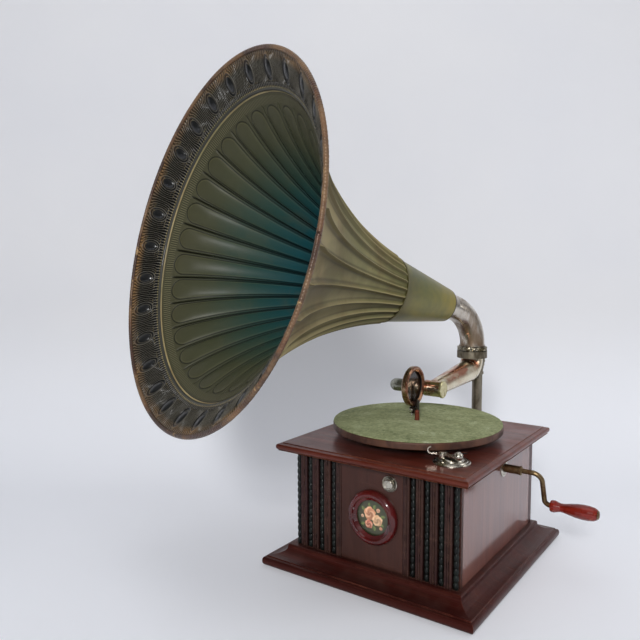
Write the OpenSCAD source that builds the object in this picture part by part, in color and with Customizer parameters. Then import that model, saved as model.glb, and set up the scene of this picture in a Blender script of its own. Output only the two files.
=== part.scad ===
// Table gramophone with a fluted flower horn, a tone arm and a hand-wound spring motor.
// Origin: centre of the plinth's underside. +Z is up, the front faces -Y, the crank is on the +X side.

/* [Cabinet] */
// Width of the cabinet body, side panel to side panel
body_w = 258; // [254:1:320]
// Depth of the cabinet body, front to back
body_d = 284; // [276:1:340]
// Height of the top board's upper face above the table
cabinet_h = 183; // [176:1:240]
// Thickness of the front, back and side panels
wall_t = 14; // [12:0.5:18]
// Thickness of the top board
top_t = 11; // [9:0.5:14]
// How far the top board stands out past the body
top_over = 20.5; // [16:0.5:26]
// Height of the plinth moulding
base_h = 29; // [24:0.5:36]
// How far the plinth moulding stands out past the body
base_over = 36; // [28:0.5:44]
// Thickness of the bottom board
bottom_t = 8; // [6:0.5:12]

/* [Front ornament] */
// Half width of the plain middle panel between the reeded fields
field_x = 48.5; // [44:0.5:50]
// Depth of the reeded fields behind the front plane
field_depth = 8; // [7.5:0.5:9]
// Distance from one beaded rod to the next
rod_pitch = 20.5; // [19:0.1:20.9]
// Largest diameter of a beaded rod
rod_d = 7; // [5:0.1:8]
// Distance from one bead to the next along a rod
bead_pitch = 9.5; // [7:0.1:12]
// How far the middle panel lies behind the front plane
panel_recess = 1.5; // [0.5:0.1:2.5]
// Sideways place of the medallion
medallion_x = 3.7; // [-5:0.1:5]
// Depth of the medallion's centre below the top board's face
medallion_drop = 84.7; // [80:0.1:94]
// Outer radius of the medallion's turned ring
medallion_r = 38; // [32:0.5:42]
// Radius of the picture that shows inside the ring
picture_r = 24.6; // [18:0.1:28]

/* [Start knob] */
// Sideways place of the start knob
knob_x = 29; // [20:0.5:36]
// Depth of the start knob below the top board's face
knob_drop = 33; // [28:0.5:36]
// Radius of the start knob
knob_r = 7.2; // [5:0.1:8]
// Travel of the start knob
knob_travel = 5; // [2:0.5:6]

/* [Turntable] */
// Radius of the turntable, for a ten inch record
platter_r = 127; // [120:0.5:135]
// Place of the turntable's centre, from the cabinet's middle
platter_y = -6.6; // [-12:0.1:0]
// Height of the felt's upper face above the top board
felt_h = 24; // [20:0.5:28]
// Thickness of the felt
felt_t = 1.5; // [1:0.1:3]
// Height of the turntable's rim
platter_rim_h = 10; // [8:0.5:12]
// Radius of the spindle where it holds the record
spindle_r = 3.6; // [3:0.05:4]
// Height of the spindle above the felt
spindle_h = 15; // [10:0.5:20]

/* [Tone arm] */
// Distance of the upright axis behind the back panel
pivot_out = 59.6; // [57:0.1:72]
// Height of the bracket's ring above the top board
collar_rise = 94.7; // [90:0.1:120]
// Radius of the tone arm's neck
neck_r = 19; // [16:0.5:20]
// Radius of the tone arm's bend
arm_bend = 22; // [21:0.5:26]
// Downward slope of the tone arm
arm_slope = 4.4; // [1:0.1:5]
// Radius of the tone arm at its front end
arm_tip_r = 13.25; // [11:0.25:15]
// Place of the cross barrel, from the cabinet's middle
barrel_y = 50; // [46:0.5:56]
// Outer radius of the cross barrel
barrel_r = 12.5; // [12:0.25:14]
// Outer radius of the gooseneck tube
goose_r = 9.75; // [8:0.25:10.75]
// How far out the gooseneck's bend reaches
goose_x = -62; // [-72:0.5:-56]

/* [Sound box] */
// Outer radius of the sound box
box_r = 31; // [26:0.5:34]
// Thickness of the sound box
box_t = 10; // [8:0.5:14]
// Place of the sound box's front face along its axis
box_face_x = -9; // [-11:0.5:-8]
// How far the sound box's centre lies above the cross barrel
goose_rise = 9; // [4:0.5:12]
// Lean of the needle from upright
needle_tilt = 25; // [10:1:35]
// Radius of the needle
needle_r = 0.8; // [0.5:0.05:1.2]

/* [Horn] */
// Direction of the horn, turned from +X
horn_az = -109.5; // [-130:0.5:-80]
// Upward tilt of the horn's axis
horn_tilt = 13.2; // [8:0.1:18]
// Height of the elbow's straight foot above the collar
elbow_rise = 2; // [2:0.5:30]
// Distance from the upright axis to the horn's narrow end
throat_t = 73; // [68:0.5:80]
// Distance from the upright axis to the seam between cone and bell
seam_t = 208; // [200:0.5:220]
// Distance from the upright axis to the horn's rim
rim_t = 522; // [500:1:540]
// Outer radius of the horn's narrow end
throat_r = 28.2; // [27:0.1:30]
// Outer radius of the horn at the seam
seam_r = 52.9; // [48:0.1:58]
// Radius of the horn's mouth
rim_r = 257.5; // [230:0.5:262]
// Thickness of the horn's sheet metal
sheet_t = 0.8; // [0.6:0.1:1.2]
// Radius of the rolled edge round the mouth
roll_r = 3; // [2:0.1:4]
// Radius of the bend of the nickel elbow
elbow_bend = 70; // [66:0.5:72]
// Outer radius of the elbow's tube
elbow_r = 21; // [19.5:0.1:22]
// Outer radius of the elbow's end inside the horn
elbow_end_r = 24.4; // [22:0.1:24.6]

/* [Crank] */
// Place of the crank's axis, from the cabinet's middle
crank_y = 14.7; // [10:0.1:20]
// Depth of the crank's axis below the top board's face
crank_drop = 33; // [31:0.5:37]
// Distance from the crank's axis to the handle's axis
throw = 53; // [45:0.5:70]
// Angle of the crank arm from straight down
throw_angle = 22; // [0:1:60]
// Radius of the crank's rod
rod_r = 3.5; // [3:0.1:4.5]
// Length of the crank's sleeve outside the cabinet
sleeve_l = 27; // [20:1:40]
// Distance from the side panel to the upright part of the arm
arm_reach = 54; // [50:1:80]
// Length of the wooden handle
handle_l = 63; // [50:1:80]
// Greatest radius of the handle
handle_r = 10.5; // [9:0.25:13]

/* [Motor] */
// Length of the motor's plates, along X
motor_w = 150; // [146:1:160]
// Depth of the motor's plates, along Y
motor_d = 128; // [124:1:136]
// Clear height between the motor's plates
motor_h = 100; // [96:1:102]
// Thickness of the motor's plates
motor_t = 3; // [2:0.5:4]
// Radius of the spring barrel
drum_r = 38; // [30:0.5:40]
// Height of the spring barrel
drum_h = 40; // [30:1:44]
// Teeth of the great wheel
great_teeth = 72; // [64:4:76]
// Teeth of the spindle's pinion
pinion_teeth = 18; // [16:1:20]
// Tooth module of the great wheel and pinion
tooth_m = 1.25; // [1.1:0.05:1.3]
// Distance of the governor's axis from the spindle
governor_off = 18.5; // [17:0.5:20]
// Radius of the governor's friction disc
disc_r = 18; // [14:0.5:20]

/* [Hidden] */

// Small clearances
run = 0.05;   // radial running clearance of a shaft in its bore
slip = 0.3;   // gap between pieces that move past each other
eps = 0.01;   // overshoot of a cut
fine = 96;    // facet count of large rounds
small = 48;   // facet count of small rounds

// Cabinet levels
top_under = cabinet_h - top_t;
front_y = -body_d / 2;
floor_y = front_y + field_depth;
side_x = body_w / 2;
knob_z = cabinet_h - knob_drop;
medallion_z = cabinet_h - medallion_drop;
crank_z = cabinet_h - crank_drop;
pivot_y = body_d / 2 + pivot_out;
collar_z = cabinet_h + collar_rise;
edge_r = top_t / 2;
bead_r = 2.2;
rod_gap = 1.1;
rod_edge = rod_d / 2 + 1;
rod_count = floor((side_x - rod_edge - field_x - rod_d) / rod_pitch) + 1;
block_s = 16;

// Turntable levels
felt_z = cabinet_h + felt_h;
platter_z = felt_z - felt_t;
platter_t = 2;
rim_z = platter_z - platter_rim_h;
hub_z = cabinet_h + 6;
hub_r = 15;
shaft_r = 5;
seat_r = spindle_r + 0.4;

// Motor levels
spacer_h = 6;
plate_top_z = top_under - spacer_h;
plate_z = plate_top_z - motor_t;
floor_z = plate_z - motor_h;
spindle_in = 45;
motor_gap = 6;
motor_x = min(motor_w / 2 - spindle_in, side_x - wall_t - motor_gap - motor_w / 2);
motor_y = 2;
pillar_r = 5;
pillar_in = 7;
mesh_d = (great_teeth + pinion_teeth) * tooth_m / 2;
drum_y = crank_y;
drum_x = sqrt(pow(mesh_d, 2) - pow(drum_y - platter_y, 2));
mesh_angle = atan2(platter_y - drum_y, -drum_x);
drum_z = floor_z + 9;
gear_t = 5;
arbor_r = 5;
drum_wall = 2;
bevel_r = 18;
bevel_small = 6;
worm_r = 4.5;
governor_z = floor_z + 27;
governor_half = 52;
leaf_from = 12;
leaf_to = 40;
leaf_out = 6;
leaf_w = 3;
weight_r = 4.6;
disc_t = 2;
post_t = 6;
post_w = 12;
pin_r = 2.5;
wheel_r = governor_off - worm_r - slip;
lug_x = drum_x + bevel_r + 12;
lug_t = 12;
shaft_bore = 4;

// Tone arm, collar and bracket levels
collar_h = 20.5;
ring_h = 12;
collar_r = 26;
neck_top = collar_z + ring_h - 2;
elbow_foot = collar_z + ring_h + 1.5;
shoulder_z = collar_z + collar_h + slip;
neck_flange = 2;
tube_t = 1.2;
sleeve_half = 0.8;
sleeve_proud = 0.2;
foot_z = cabinet_h - 65;
post_y = pivot_y + 25.9;
post_r = 9;
foot_r = 30;
foot_t = 5;
post_bend = 34;
leaf_z = cabinet_h + 60;
leaf_h = 30;

// Tone arm, from the neck's bend to the cross barrel
arm_turn = 90 - arm_slope;
arm_tangent = arm_bend * tan(arm_turn / 2);
arm_z = collar_z - arm_tangent;
arm_len = (pivot_y - barrel_y) / cos(arm_slope);
barrel_z = arm_z - (pivot_y - barrel_y) * tan(arm_slope);
arm_plug = 8;
barrel_x0 = -14;
barrel_x1 = 14;

// Gooseneck and sound box
box_gap = 0.45;
goose_off = box_r + barrel_r + box_gap;
goose_reach = sqrt(pow(goose_off, 2) - pow(goose_rise, 2));
box_y = barrel_y - goose_reach;
box_z = barrel_z + goose_rise;
goose_bend = goose_off / 2;
goose_turn = -atan2(goose_rise, goose_reach);
goose_cx = goose_x + goose_bend + goose_r;
goose_in = 18;
box_back_x = box_face_x - box_t;
socket_l = 7;
needle_l = 16;
clamp_r = 1.5;
foot_drop = box_r + 1;
needle_z = felt_z + slip;
needle_x = box_face_x - box_t / 2;
needle_y = box_y - (box_z - foot_drop - 4 - needle_z) * tan(needle_tilt);
clamp_z = box_z - foot_drop - 4.5;
clamp_y = needle_y + (clamp_z - clamp_r - needle_z) * tan(needle_tilt) - needle_r / cos(needle_tilt) - run;

// Horn
elbow_turn = 90 - horn_tilt;
elbow_tangent = elbow_bend * tan(elbow_turn / 2);
elbow_top_z = shoulder_z + elbow_rise;
horn_z = elbow_top_z + elbow_tangent;
elbow_end = throat_t + 9;
bell_steps = 18;
bell_linear = 0.30;
bell_square = 0.53;
bell_power = 8;
roll_gap = 0.1;
roll_t = rim_t - 0.85 * roll_r;

// Crank
arm_x = side_x + arm_reach;
bend_top = 13;
bend_low = 8;
sleeve_r = 6;
handle_x = arm_x + bend_low;
handle_end = handle_x + slip + handle_l;

// Brake, placed from the turntable's rim
brake_out = 9;
brake_dir = -48.5;
brake_px = (platter_r + brake_out) * cos(brake_dir);
brake_py = platter_y + (platter_r + brake_out) * sin(brake_dir);
brake_x = brake_px + 11;
brake_y = brake_py + 4.5;
brake_z = cabinet_h + 10;

// Profile pieces
function arc(cx, cy, r, a0, a1, n) =
    [for (i = [0:n]) [cx + r * cos(a0 + (a1 - a0) * i / n), cy + r * sin(a0 + (a1 - a0) * i / n)]];
function ellipse(cx, cy, rx, ry, a0, a1, n) =
    [for (i = [0:n]) [cx + rx * cos(a0 + (a1 - a0) * i / n), cy + ry * sin(a0 + (a1 - a0) * i / n)]];
function flip(points) = [for (i = [len(points) - 1:-1:0]) [-points[i][0], points[i][1]]];
function flare(u) = bell_linear * u + bell_square * pow(u, 2)
    + (1 - bell_linear - bell_square) * pow(u, bell_power);
function flare_slope(u) = bell_linear + 2 * bell_square * u
    + (1 - bell_linear - bell_square) * bell_power * pow(u, bell_power - 1);
function bell_radius(t) = seam_r + (rim_r - seam_r) * flare((t - seam_t) / (rim_t - seam_t));
function bell_slope(t) = (rim_r - seam_r) / (rim_t - seam_t) * flare_slope((t - seam_t) / (rim_t - seam_t));
function elbow_radius(t) = elbow_r + (elbow_end_r - elbow_r) * (t - elbow_tangent) / (elbow_end - elbow_tangent);

// A board or frame of size w by d whose four edges carry the moulding profile.
// The profile's points are [distance out past the size, height].
module moulded(w, d, profile) {
    shift = [for (p = profile) [p[0] + w / 2, p[1]]];
    shift_d = [for (p = profile) [p[0] + d / 2, p[1]]];
    reach = 2 * base_over + max(w, d);
    intersection() {
        rotate([90, 0, 0]) linear_extrude(reach, center = true) polygon(concat(shift, flip(shift)));
        rotate([90, 0, 90]) linear_extrude(reach, center = true) polygon(concat(shift_d, flip(shift_d)));
    }
}

// A ring of four points of the motor's corners
module at_corners() {
    for (sx = [-1, 1], sy = [-1, 1])
        translate([motor_x + sx * (motor_w / 2 - pillar_in), motor_y + sy * (motor_d / 2 - pillar_in), 0])
            children();
}

// A spur gear's outline with straight flanks
module gear(teeth, shift = 0) {
    pitch_r = teeth * tooth_m / 2;
    step = 360 / teeth;
    tip = pitch_r + 0.8 * tooth_m;
    root = pitch_r - 1.1 * tooth_m;
    polygon([for (i = [0:teeth - 1]) for (c = [[-0.26, root], [-0.11, tip], [0.11, tip], [0.26, root]])
        let (a = step * (i + c[0] + shift)) [c[1] * cos(a), c[1] * sin(a)]]);
}

// A tube between two radii at its ends, hollow all through
module cone_tube(h, r0, r1, t) {
    rotate_extrude($fn = fine)
        polygon([[r0 - t, 0], [r0, 0], [r1, h], [r1 - t, h]]);
}

// The plinth: a mitred frame of moulding round the body's foot
module plinth() {
    lip = 12;
    profile = concat(
        [[-eps, 0], [base_over - 3, 0]],
        ellipse(base_over - 3, lip / 2, 3, lip / 2, -90, 90, 10),
        [[base_over - 5, lip + 0.5], [base_over - 5.5, lip + 2]],
        ellipse(base_over - 5.5, base_h - 4.5, base_over - 14, base_h - lip - 6.5, -90, -180, 8),
        [[8.5, base_h - 3.5]],
        arc(5.5, base_h - 2.8, 2.8, -20, 90, 6),
        [[-eps, base_h]]
    );
    color("#4a211c") difference() {
        moulded(body_w, body_d, profile);
        translate([-body_w / 2, -body_d / 2, -1]) cube([body_w, body_d, base_h + 2]);
    }
}

module bottom_board() {
    color("#5a3a28") translate([-body_w / 2, -body_d / 2, 0]) cube([body_w, body_d, bottom_t]);
}

// The front panel, rebated at both sides for the reeded fields
module front_panel() {
    color("#43201d") difference() {
        translate([-side_x, front_y + panel_recess, bottom_t])
            cube([body_w, wall_t - panel_recess, top_under - bottom_t]);
        for (s = [-1, 1])
            translate([s > 0 ? field_x : -side_x - 1, front_y - 1, base_h])
                cube([side_x - field_x + 1, field_depth + 1, top_under - base_h + 1]);
        translate([knob_x, front_y, knob_z]) rotate([-90, 0, 0])
            cylinder(h = wall_t + 1, r = 3 + slip, $fn = small);
    }
}

module back_panel() {
    color("#43201d") translate([-side_x, body_d / 2 - wall_t, bottom_t])
        cube([body_w, wall_t, top_under - bottom_t]);
}

module left_panel() {
    color("#5b3430") translate([-side_x, front_y + wall_t, bottom_t])
        cube([wall_t, body_d - 2 * wall_t, top_under - bottom_t]);
}

module right_panel() {
    color("#5b3430") difference() {
        translate([side_x - wall_t, front_y + wall_t, bottom_t])
            cube([wall_t, body_d - 2 * wall_t, top_under - bottom_t]);
        translate([side_x - wall_t - 1, crank_y, crank_z]) rotate([0, 90, 0])
            cylinder(h = wall_t + 2, r = sleeve_r + 1, $fn = small);
    }
}

// Glue blocks in the four inner corners
module corner_blocks() {
    x = side_x - wall_t - block_s / 2;
    y = body_d / 2 - wall_t - block_s / 2;
    color("#8a6a45") for (sx = [-1, 1], sy = [-1, 1])
        translate([sx * x, sy * y, bottom_t + (top_under - bottom_t) / 2])
            cube([block_s, block_s, top_under - bottom_t], center = true);
}

// One reeded strip: a round reed at each edge and a flat one between
module reed(x0, x1) {
    w = x1 - x0;
    profile = concat(
        [[0, 0], [0, field_depth - bead_r]],
        arc(bead_r, field_depth - bead_r, bead_r, 180, 20, 6),
        [[2 * bead_r + 0.4, field_depth - bead_r], [w / 2 - 1, field_depth - 0.5],
         [w / 2 + 1, field_depth - 0.5], [w - 2 * bead_r - 0.4, field_depth - bead_r]],
        arc(w - bead_r, field_depth - bead_r, bead_r, 160, 0, 6),
        [[w, 0]]
    );
    translate([x0, floor_y, base_h]) mirror([0, 1, 0]) linear_extrude(top_under - base_h) polygon(profile);
}

// Strips that stand between the beaded rods, on both sides of the middle panel
module reeded_strips() {
    half = rod_pitch / 2 - rod_d / 2 - rod_gap;
    last = side_x - rod_edge;
    color("#4d2a26") for (s = [0, 1]) mirror([s, 0, 0]) {
        reed(field_x, last - (rod_count - 1) * rod_pitch - rod_edge);
        for (i = [0:rod_count - 2])
            reed(last - (i + 0.5) * rod_pitch - half, last - (i + 0.5) * rod_pitch + half);
    }
}

// Dark beaded rods that stand in the grooves of the reeded fields
module beaded_rods() {
    r = rod_d / 2;
    waist = 0.72 * r;
    count = floor((top_under - base_h) / bead_pitch);
    step = (top_under - base_h) / count;
    color("#1f2622") for (s = [-1, 1], i = [0:rod_count - 1])
        translate([s * (side_x - rod_edge - i * rod_pitch), floor_y - r - run, base_h])
            rotate_extrude($fn = 24)
                polygon(concat([[0, 0]],
                    [for (k = [0:count - 1]) for (p = [[waist, 0], [0.93 * r, 0.22], [r, 0.5], [0.93 * r, 0.78]])
                        [p[0], (k + p[1]) * step]],
                    [[waist, count * step], [0, count * step]]));
}

module medallion_ring() {
    plane = front_y + panel_recess;
    color("#6b1d1c") translate([medallion_x, plane, medallion_z]) rotate([90, 0, 0])
        rotate_extrude($fn = fine)
            polygon(concat(
                [[picture_r + 1.5, 0], [medallion_r, 0], [medallion_r, 2.5]],
                ellipse(medallion_r - 6, 2.5, 6, 6.5, 0, 110, 10),
                [[picture_r + 4, 6.5], [picture_r, 4.2], [picture_r, 2], [picture_r + 1.5, 1.6]]
            ));
}

// The picture: a slightly domed disc held behind the ring's lip
module medallion_picture() {
    plane = front_y + panel_recess;
    color("#b79a6a") translate([medallion_x, plane, medallion_z]) rotate([90, 0, 0])
        rotate_extrude($fn = fine)
            polygon([[0, 0], [picture_r + 1.4, 0], [picture_r + 1.4, 1.4], [picture_r, 1.7],
                     [picture_r / 2, 2.6], [0, 3]]);
}

module top_board() {
    profile = concat(
        [[0, top_under], [top_over - 1.8, top_under]],
        ellipse(top_over - edge_r, top_under + edge_r, edge_r, edge_r, -70, 40, 8),
        [[top_over - 5, cabinet_h - 1.4], [top_over - 7.4, cabinet_h - 1], [top_over - 7.6, cabinet_h]]
    );
    color("#55302a") difference() {
        moulded(body_w, body_d, profile);
        translate([0, platter_y, top_under - 1]) cylinder(h = top_t + 2, r = 9, $fn = small);
        at_corners() {
            translate([0, 0, top_under - 1]) cylinder(h = top_t + 2, r = 2 + run, $fn = small);
            translate([0, 0, cabinet_h - 3]) cylinder(h = 4, r = 4.6, $fn = small);
        }
    }
}

module knob_escutcheon() {
    color("#c9c4b8") translate([knob_x, front_y + panel_recess, knob_z]) rotate([90, 0, 0])
        rotate_extrude($fn = small)
            polygon([[3 + slip, 0], [11.3, 0], [11.3, 1.2], [10.6, 2], [9.6, 1.6],
                     [knob_r + 1, 0.9], [3 + slip, 0.9]]);
}

// The start knob with its rod through the front panel
module start_knob() {
    rod_in = wall_t + 11 + knob_travel;
    color("#bdb8ac") translate([knob_x, front_y + panel_recess, knob_z]) rotate([90, 0, 0])
        rotate_extrude($fn = small)
            polygon(concat(
                [[0, -rod_in], [3, -rod_in], [3, 1.4], [knob_r - 1, 1.4], [knob_r, 2.4],
                 [knob_r, 5]],
                ellipse(knob_r - 1.6, 5, 1.6, 1.6, 0, 90, 5),
                [[knob_r - 2.4, 6.2], [0, 6.2]]
            ));
}

module crank_escutcheon() {
    color("#8f8870") translate([side_x, crank_y, crank_z]) rotate([0, 90, 0])
        rotate_extrude($fn = small)
            polygon([[sleeve_r + slip, 0], [13, 0], [13, 1], [9, 2], [sleeve_r + slip, 2]]);
}

// The shaft inside the cabinet that the crank screws onto
module winding_shaft() {
    x0 = drum_x + bevel_r - 7;
    color("#8d8f92") translate([x0, crank_y, crank_z]) rotate([0, 90, 0])
        cylinder(h = side_x - 1 - x0, r = shaft_bore, $fn = small);
}

// Bevel pinion on the winding shaft
module winding_pinion() {
    face = 6;
    color("#b0924a") translate([drum_x + bevel_r - face, crank_y, crank_z]) rotate([0, 90, 0])
        rotate_extrude($fn = small)
            polygon([[shaft_bore + run, 0], [shaft_bore + 0.6, 0], [bevel_small - slip, face],
                     [bevel_small - slip, face + 3], [shaft_bore + run, face + 3]]);
}

// The crank: a sleeve, a bent rod and the pin inside the handle.
// It is drawn with its arm straight down and turned to its resting angle.
module crank_arm() {
    color("#7d6a45") translate([0, crank_y, crank_z]) rotate([throw_angle, 0, 0]) {
        translate([side_x - 1, 0, 0]) rotate([0, 90, 0])
            rotate_extrude($fn = small)
                polygon([[0, 0], [sleeve_r, 0], [sleeve_r, sleeve_l - 3], [sleeve_r + 0.7, sleeve_l - 2],
                         [sleeve_r + 0.7, sleeve_l], [rod_r, sleeve_l + 1], [0, sleeve_l + 1]]);
        translate([side_x + sleeve_l - 2, 0, 0]) rotate([0, 90, 0])
            cylinder(h = arm_x - bend_top - side_x - sleeve_l + 2, r = rod_r, $fn = small);
        translate([arm_x - bend_top, 0, -bend_top]) rotate([90, 0, 0])
            rotate_extrude(angle = 90, $fn = fine) translate([bend_top, 0]) circle(rod_r, $fn = small);
        translate([arm_x, 0, -throw + bend_low])
            cylinder(h = throw - bend_low - bend_top, r = rod_r, $fn = small);
        translate([arm_x + bend_low, 0, -throw + bend_low]) rotate([90, 180, 0])
            rotate_extrude(angle = 90, $fn = fine) translate([bend_low, 0]) circle(rod_r, $fn = small);
        translate([arm_x + bend_low, 0, -throw]) rotate([0, 90, 0])
            cylinder(h = handle_end + slip - handle_x, r = rod_r, $fn = small);
    }
}

// Turned wooden handle, free to turn on the crank's pin
module crank_handle() {
    r = handle_r;
    l = handle_l;
    bore = rod_r + run;
    color("#8c2a1c") translate([0, crank_y, crank_z]) rotate([throw_angle, 0, 0])
        translate([handle_x + slip, 0, -throw]) rotate([0, 90, 0])
            rotate_extrude($fn = fine)
                polygon([[bore, 0], [0.72 * r, 0], [0.8 * r, 0.03 * l], [0.81 * r, 0.09 * l],
                         [0.66 * r, 0.16 * l], [0.58 * r, 0.22 * l], [0.62 * r, 0.3 * l],
                         [0.78 * r, 0.42 * l], [0.93 * r, 0.56 * l], [r, 0.7 * l],
                         [0.98 * r, 0.82 * l], [0.88 * r, 0.93 * l], [0.66 * r, l], [bore, l]]);
}

// Riveted washer that keeps the handle on its pin
module handle_rivet() {
    color("#6a5a3c") translate([0, crank_y, crank_z]) rotate([throw_angle, 0, 0])
        translate([handle_end + slip, 0, -throw]) rotate([0, 90, 0])
            rotate_extrude($fn = small)
                polygon([[0, 0], [0.55 * handle_r, 0], [0.55 * handle_r, 1], [0.3 * handle_r, 2], [0, 2.2]]);
}

// The motor's top plate, with the lug that carries the winding shaft
module motor_top_plate() {
    color("#9a9a92") difference() {
        union() {
            translate([motor_x - motor_w / 2, motor_y - motor_d / 2, plate_z])
                cube([motor_w, motor_d, motor_t]);
            translate([lug_x, crank_y - 9, crank_z - 9])
                cube([lug_t, 18, plate_z + 1 - crank_z + 9]);
        }
        translate([0, platter_y, plate_z - 1]) cylinder(h = motor_t + 2, r = shaft_r + run, $fn = small);
        translate([lug_x - 1, crank_y, crank_z]) rotate([0, 90, 0])
            cylinder(h = lug_t + 2, r = shaft_bore + run, $fn = small);
        at_corners() translate([0, 0, plate_z - 1]) cylinder(h = motor_t + 2, r = 2 + run, $fn = small);
    }
}

module motor_bottom_plate() {
    color("#9a9a92") difference() {
        translate([motor_x - motor_w / 2, motor_y - motor_d / 2, floor_z - motor_t])
            cube([motor_w, motor_d, motor_t]);
        translate([0, platter_y, floor_z - motor_t - 1])
            cylinder(h = motor_t + 2, r = pin_r + run, $fn = small);
        translate([drum_x, drum_y, floor_z - motor_t - 1])
            cylinder(h = motor_t + 2, r = arbor_r - 1 + run, $fn = small);
    }
}

module motor_pillars() {
    color("#a8a294") at_corners() difference() {
        translate([0, 0, floor_z]) cylinder(h = motor_h, r = pillar_r, $fn = small);
        translate([0, 0, plate_z - 12]) cylinder(h = 13, r = 2 + run, $fn = small);
    }
}

// Countersunk screws that hang the motor from the top board
module motor_screws() {
    color("#b8b2a2") at_corners() rotate_extrude($fn = small)
        polygon([[0, plate_z - 11], [2, plate_z - 11], [2, cabinet_h - 2.6], [4.4, cabinet_h - 2.6],
                 [4.4, cabinet_h - 0.6], [0, cabinet_h - 0.6]]);
}

module motor_spacers() {
    color("#4c4a44") at_corners() difference() {
        translate([0, 0, plate_top_z]) cylinder(h = spacer_h, r = 7, $fn = small);
        translate([0, 0, plate_top_z - 1]) cylinder(h = spacer_h + 2, r = 2 + run, $fn = small);
    }
}

// The barrel that holds the mainspring, with the great wheel cut on its foot
module spring_barrel() {
    color("#a9843c") translate([drum_x, drum_y, drum_z]) difference() {
        union() {
            cylinder(h = drum_h, r = drum_r, $fn = fine);
            rotate([0, 0, mesh_angle]) linear_extrude(gear_t) gear(great_teeth);
        }
        translate([0, 0, gear_t]) cylinder(h = drum_h, r = drum_r - drum_wall, $fn = fine);
        translate([0, 0, -1]) cylinder(h = gear_t + 2, r = arbor_r + run, $fn = small);
    }
}

module barrel_cover() {
    color("#b9954d") translate([drum_x, drum_y, drum_z + drum_h]) difference() {
        union() {
            translate([0, 0, -2]) cylinder(h = 2, r = drum_r - drum_wall, $fn = fine);
            cylinder(h = 1.5, r = drum_r, $fn = fine);
        }
        translate([0, 0, -3]) cylinder(h = 6, r = arbor_r + run, $fn = small);
    }
}

// The mainspring: one flat strip wound in a spiral
module mainspring() {
    turns = 8;
    points = turns * 24;
    strip = 1.2;
    r0 = arbor_r + 3;
    r1 = drum_r - drum_wall - strip - slip;
    inner = [for (i = [0:points]) let (a = i * 15, r = r0 + (r1 - r0) * i / points) [r * cos(a), r * sin(a)]];
    outer = [for (i = [points:-1:0]) let (a = i * 15, r = r0 + strip + (r1 - r0) * i / points)
        [r * cos(a), r * sin(a)]];
    color("#6f747a") translate([drum_x, drum_y, drum_z + gear_t + 1])
        linear_extrude(drum_h - gear_t - 4) polygon(concat(inner, outer));
}

// The upright arbor through the barrel, with its bevel wheel under the crank's pinion
module winding_arbor() {
    top = crank_z - bevel_small;
    color("#8d8f92") translate([drum_x, drum_y, 0]) rotate_extrude($fn = fine)
        polygon([[0, floor_z - motor_t], [arbor_r - 1, floor_z - motor_t], [arbor_r - 1, floor_z + slip],
                 [arbor_r, floor_z + slip], [arbor_r, top - 14], [8, top - 13],
                 [8, top - 5], [bevel_r, top - 3], [bevel_r, top - slip],
                 [bevel_r - 6, top - slip + 1.4], [8, top - slip + 1.2], [0, top - slip + 1.2]]);
}

// The spindle, stepped for the bottom plate, the motor and the turntable's hub
module spindle() {
    color("#7a3a2a") translate([0, platter_y, 0]) rotate_extrude($fn = small)
        polygon(concat(
            [[0, floor_z - motor_t], [pin_r, floor_z - motor_t], [pin_r, floor_z + slip],
             [shaft_r, floor_z + slip], [shaft_r, hub_z - 3], [8, hub_z - 3], [8, hub_z],
             [seat_r, hub_z], [seat_r, felt_z], [spindle_r, felt_z], [spindle_r, felt_z + spindle_h - 2]],
            ellipse(0, felt_z + spindle_h - 2, spindle_r, 2, 10, 90, 6)
        ));
}

// The pinion in mesh with the great wheel, and the worm wheel that drives the governor
module spindle_wheels() {
    color("#b0924a") translate([0, platter_y, 0]) difference() {
        union() {
            translate([0, 0, drum_z - 2]) rotate([0, 0, mesh_angle + 180]) linear_extrude(gear_t + 4)
                gear(pinion_teeth, 0.5);
            translate([0, 0, governor_z - 3]) cylinder(h = 6, r = wheel_r, $fn = fine);
        }
        translate([0, 0, floor_z]) cylinder(h = motor_h, r = shaft_r + run, $fn = small);
    }
}

// The governor lies beside the spindle, its shaft along Y
module governor_axis() {
    translate([-governor_off, platter_y, governor_z]) rotate([-90, 0, 0]) children();
}

module governor_shaft() {
    h = governor_half;
    color("#8d8f92") governor_axis() rotate_extrude($fn = small)
        polygon([[0, -h], [pin_r - 0.5, -h], [pin_r - 0.5, -h + post_t + slip], [pin_r, -h + post_t + slip],
                 [pin_r, -9], [worm_r, -8], [worm_r, 8], [pin_r, 9],
                 [pin_r, leaf_from], [pin_r + 2, leaf_from], [pin_r + 2, leaf_from + 4], [pin_r, leaf_from + 4],
                 [pin_r, h - post_t - slip], [pin_r - 0.5, h - post_t - slip], [pin_r - 0.5, h], [0, h]]);
}

// Ball weights, each with a flat riveted to the middle of its leaf spring
module governor_weights() {
    color("#8a6d38") governor_axis() for (a = [0:120:240]) rotate([0, 0, a])
        translate([leaf_out, 0, (leaf_from + leaf_to) / 2]) difference() {
            translate([weight_r - 0.3, 0, 0]) sphere(weight_r, $fn = small);
            translate([-weight_r, -weight_r, -weight_r]) cube([weight_r, 2 * weight_r, 2 * weight_r]);
        }
}

// Leaf springs from the fixed collar to the friction disc's hub, bowed out round the weights
module governor_springs() {
    color("#6f747a") governor_axis() for (a = [0:120:240]) rotate([90, 0, a])
        translate([0, 0, -leaf_w / 2]) linear_extrude(leaf_w)
            polygon([[4.5, leaf_from], [5.1, leaf_from], [leaf_out, leaf_from + 8], [leaf_out, leaf_to - 8],
                     [5.1, leaf_to], [4.5, leaf_to], [leaf_out - 0.7, leaf_to - 8], [leaf_out - 0.7, leaf_from + 8]]);
}

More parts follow.
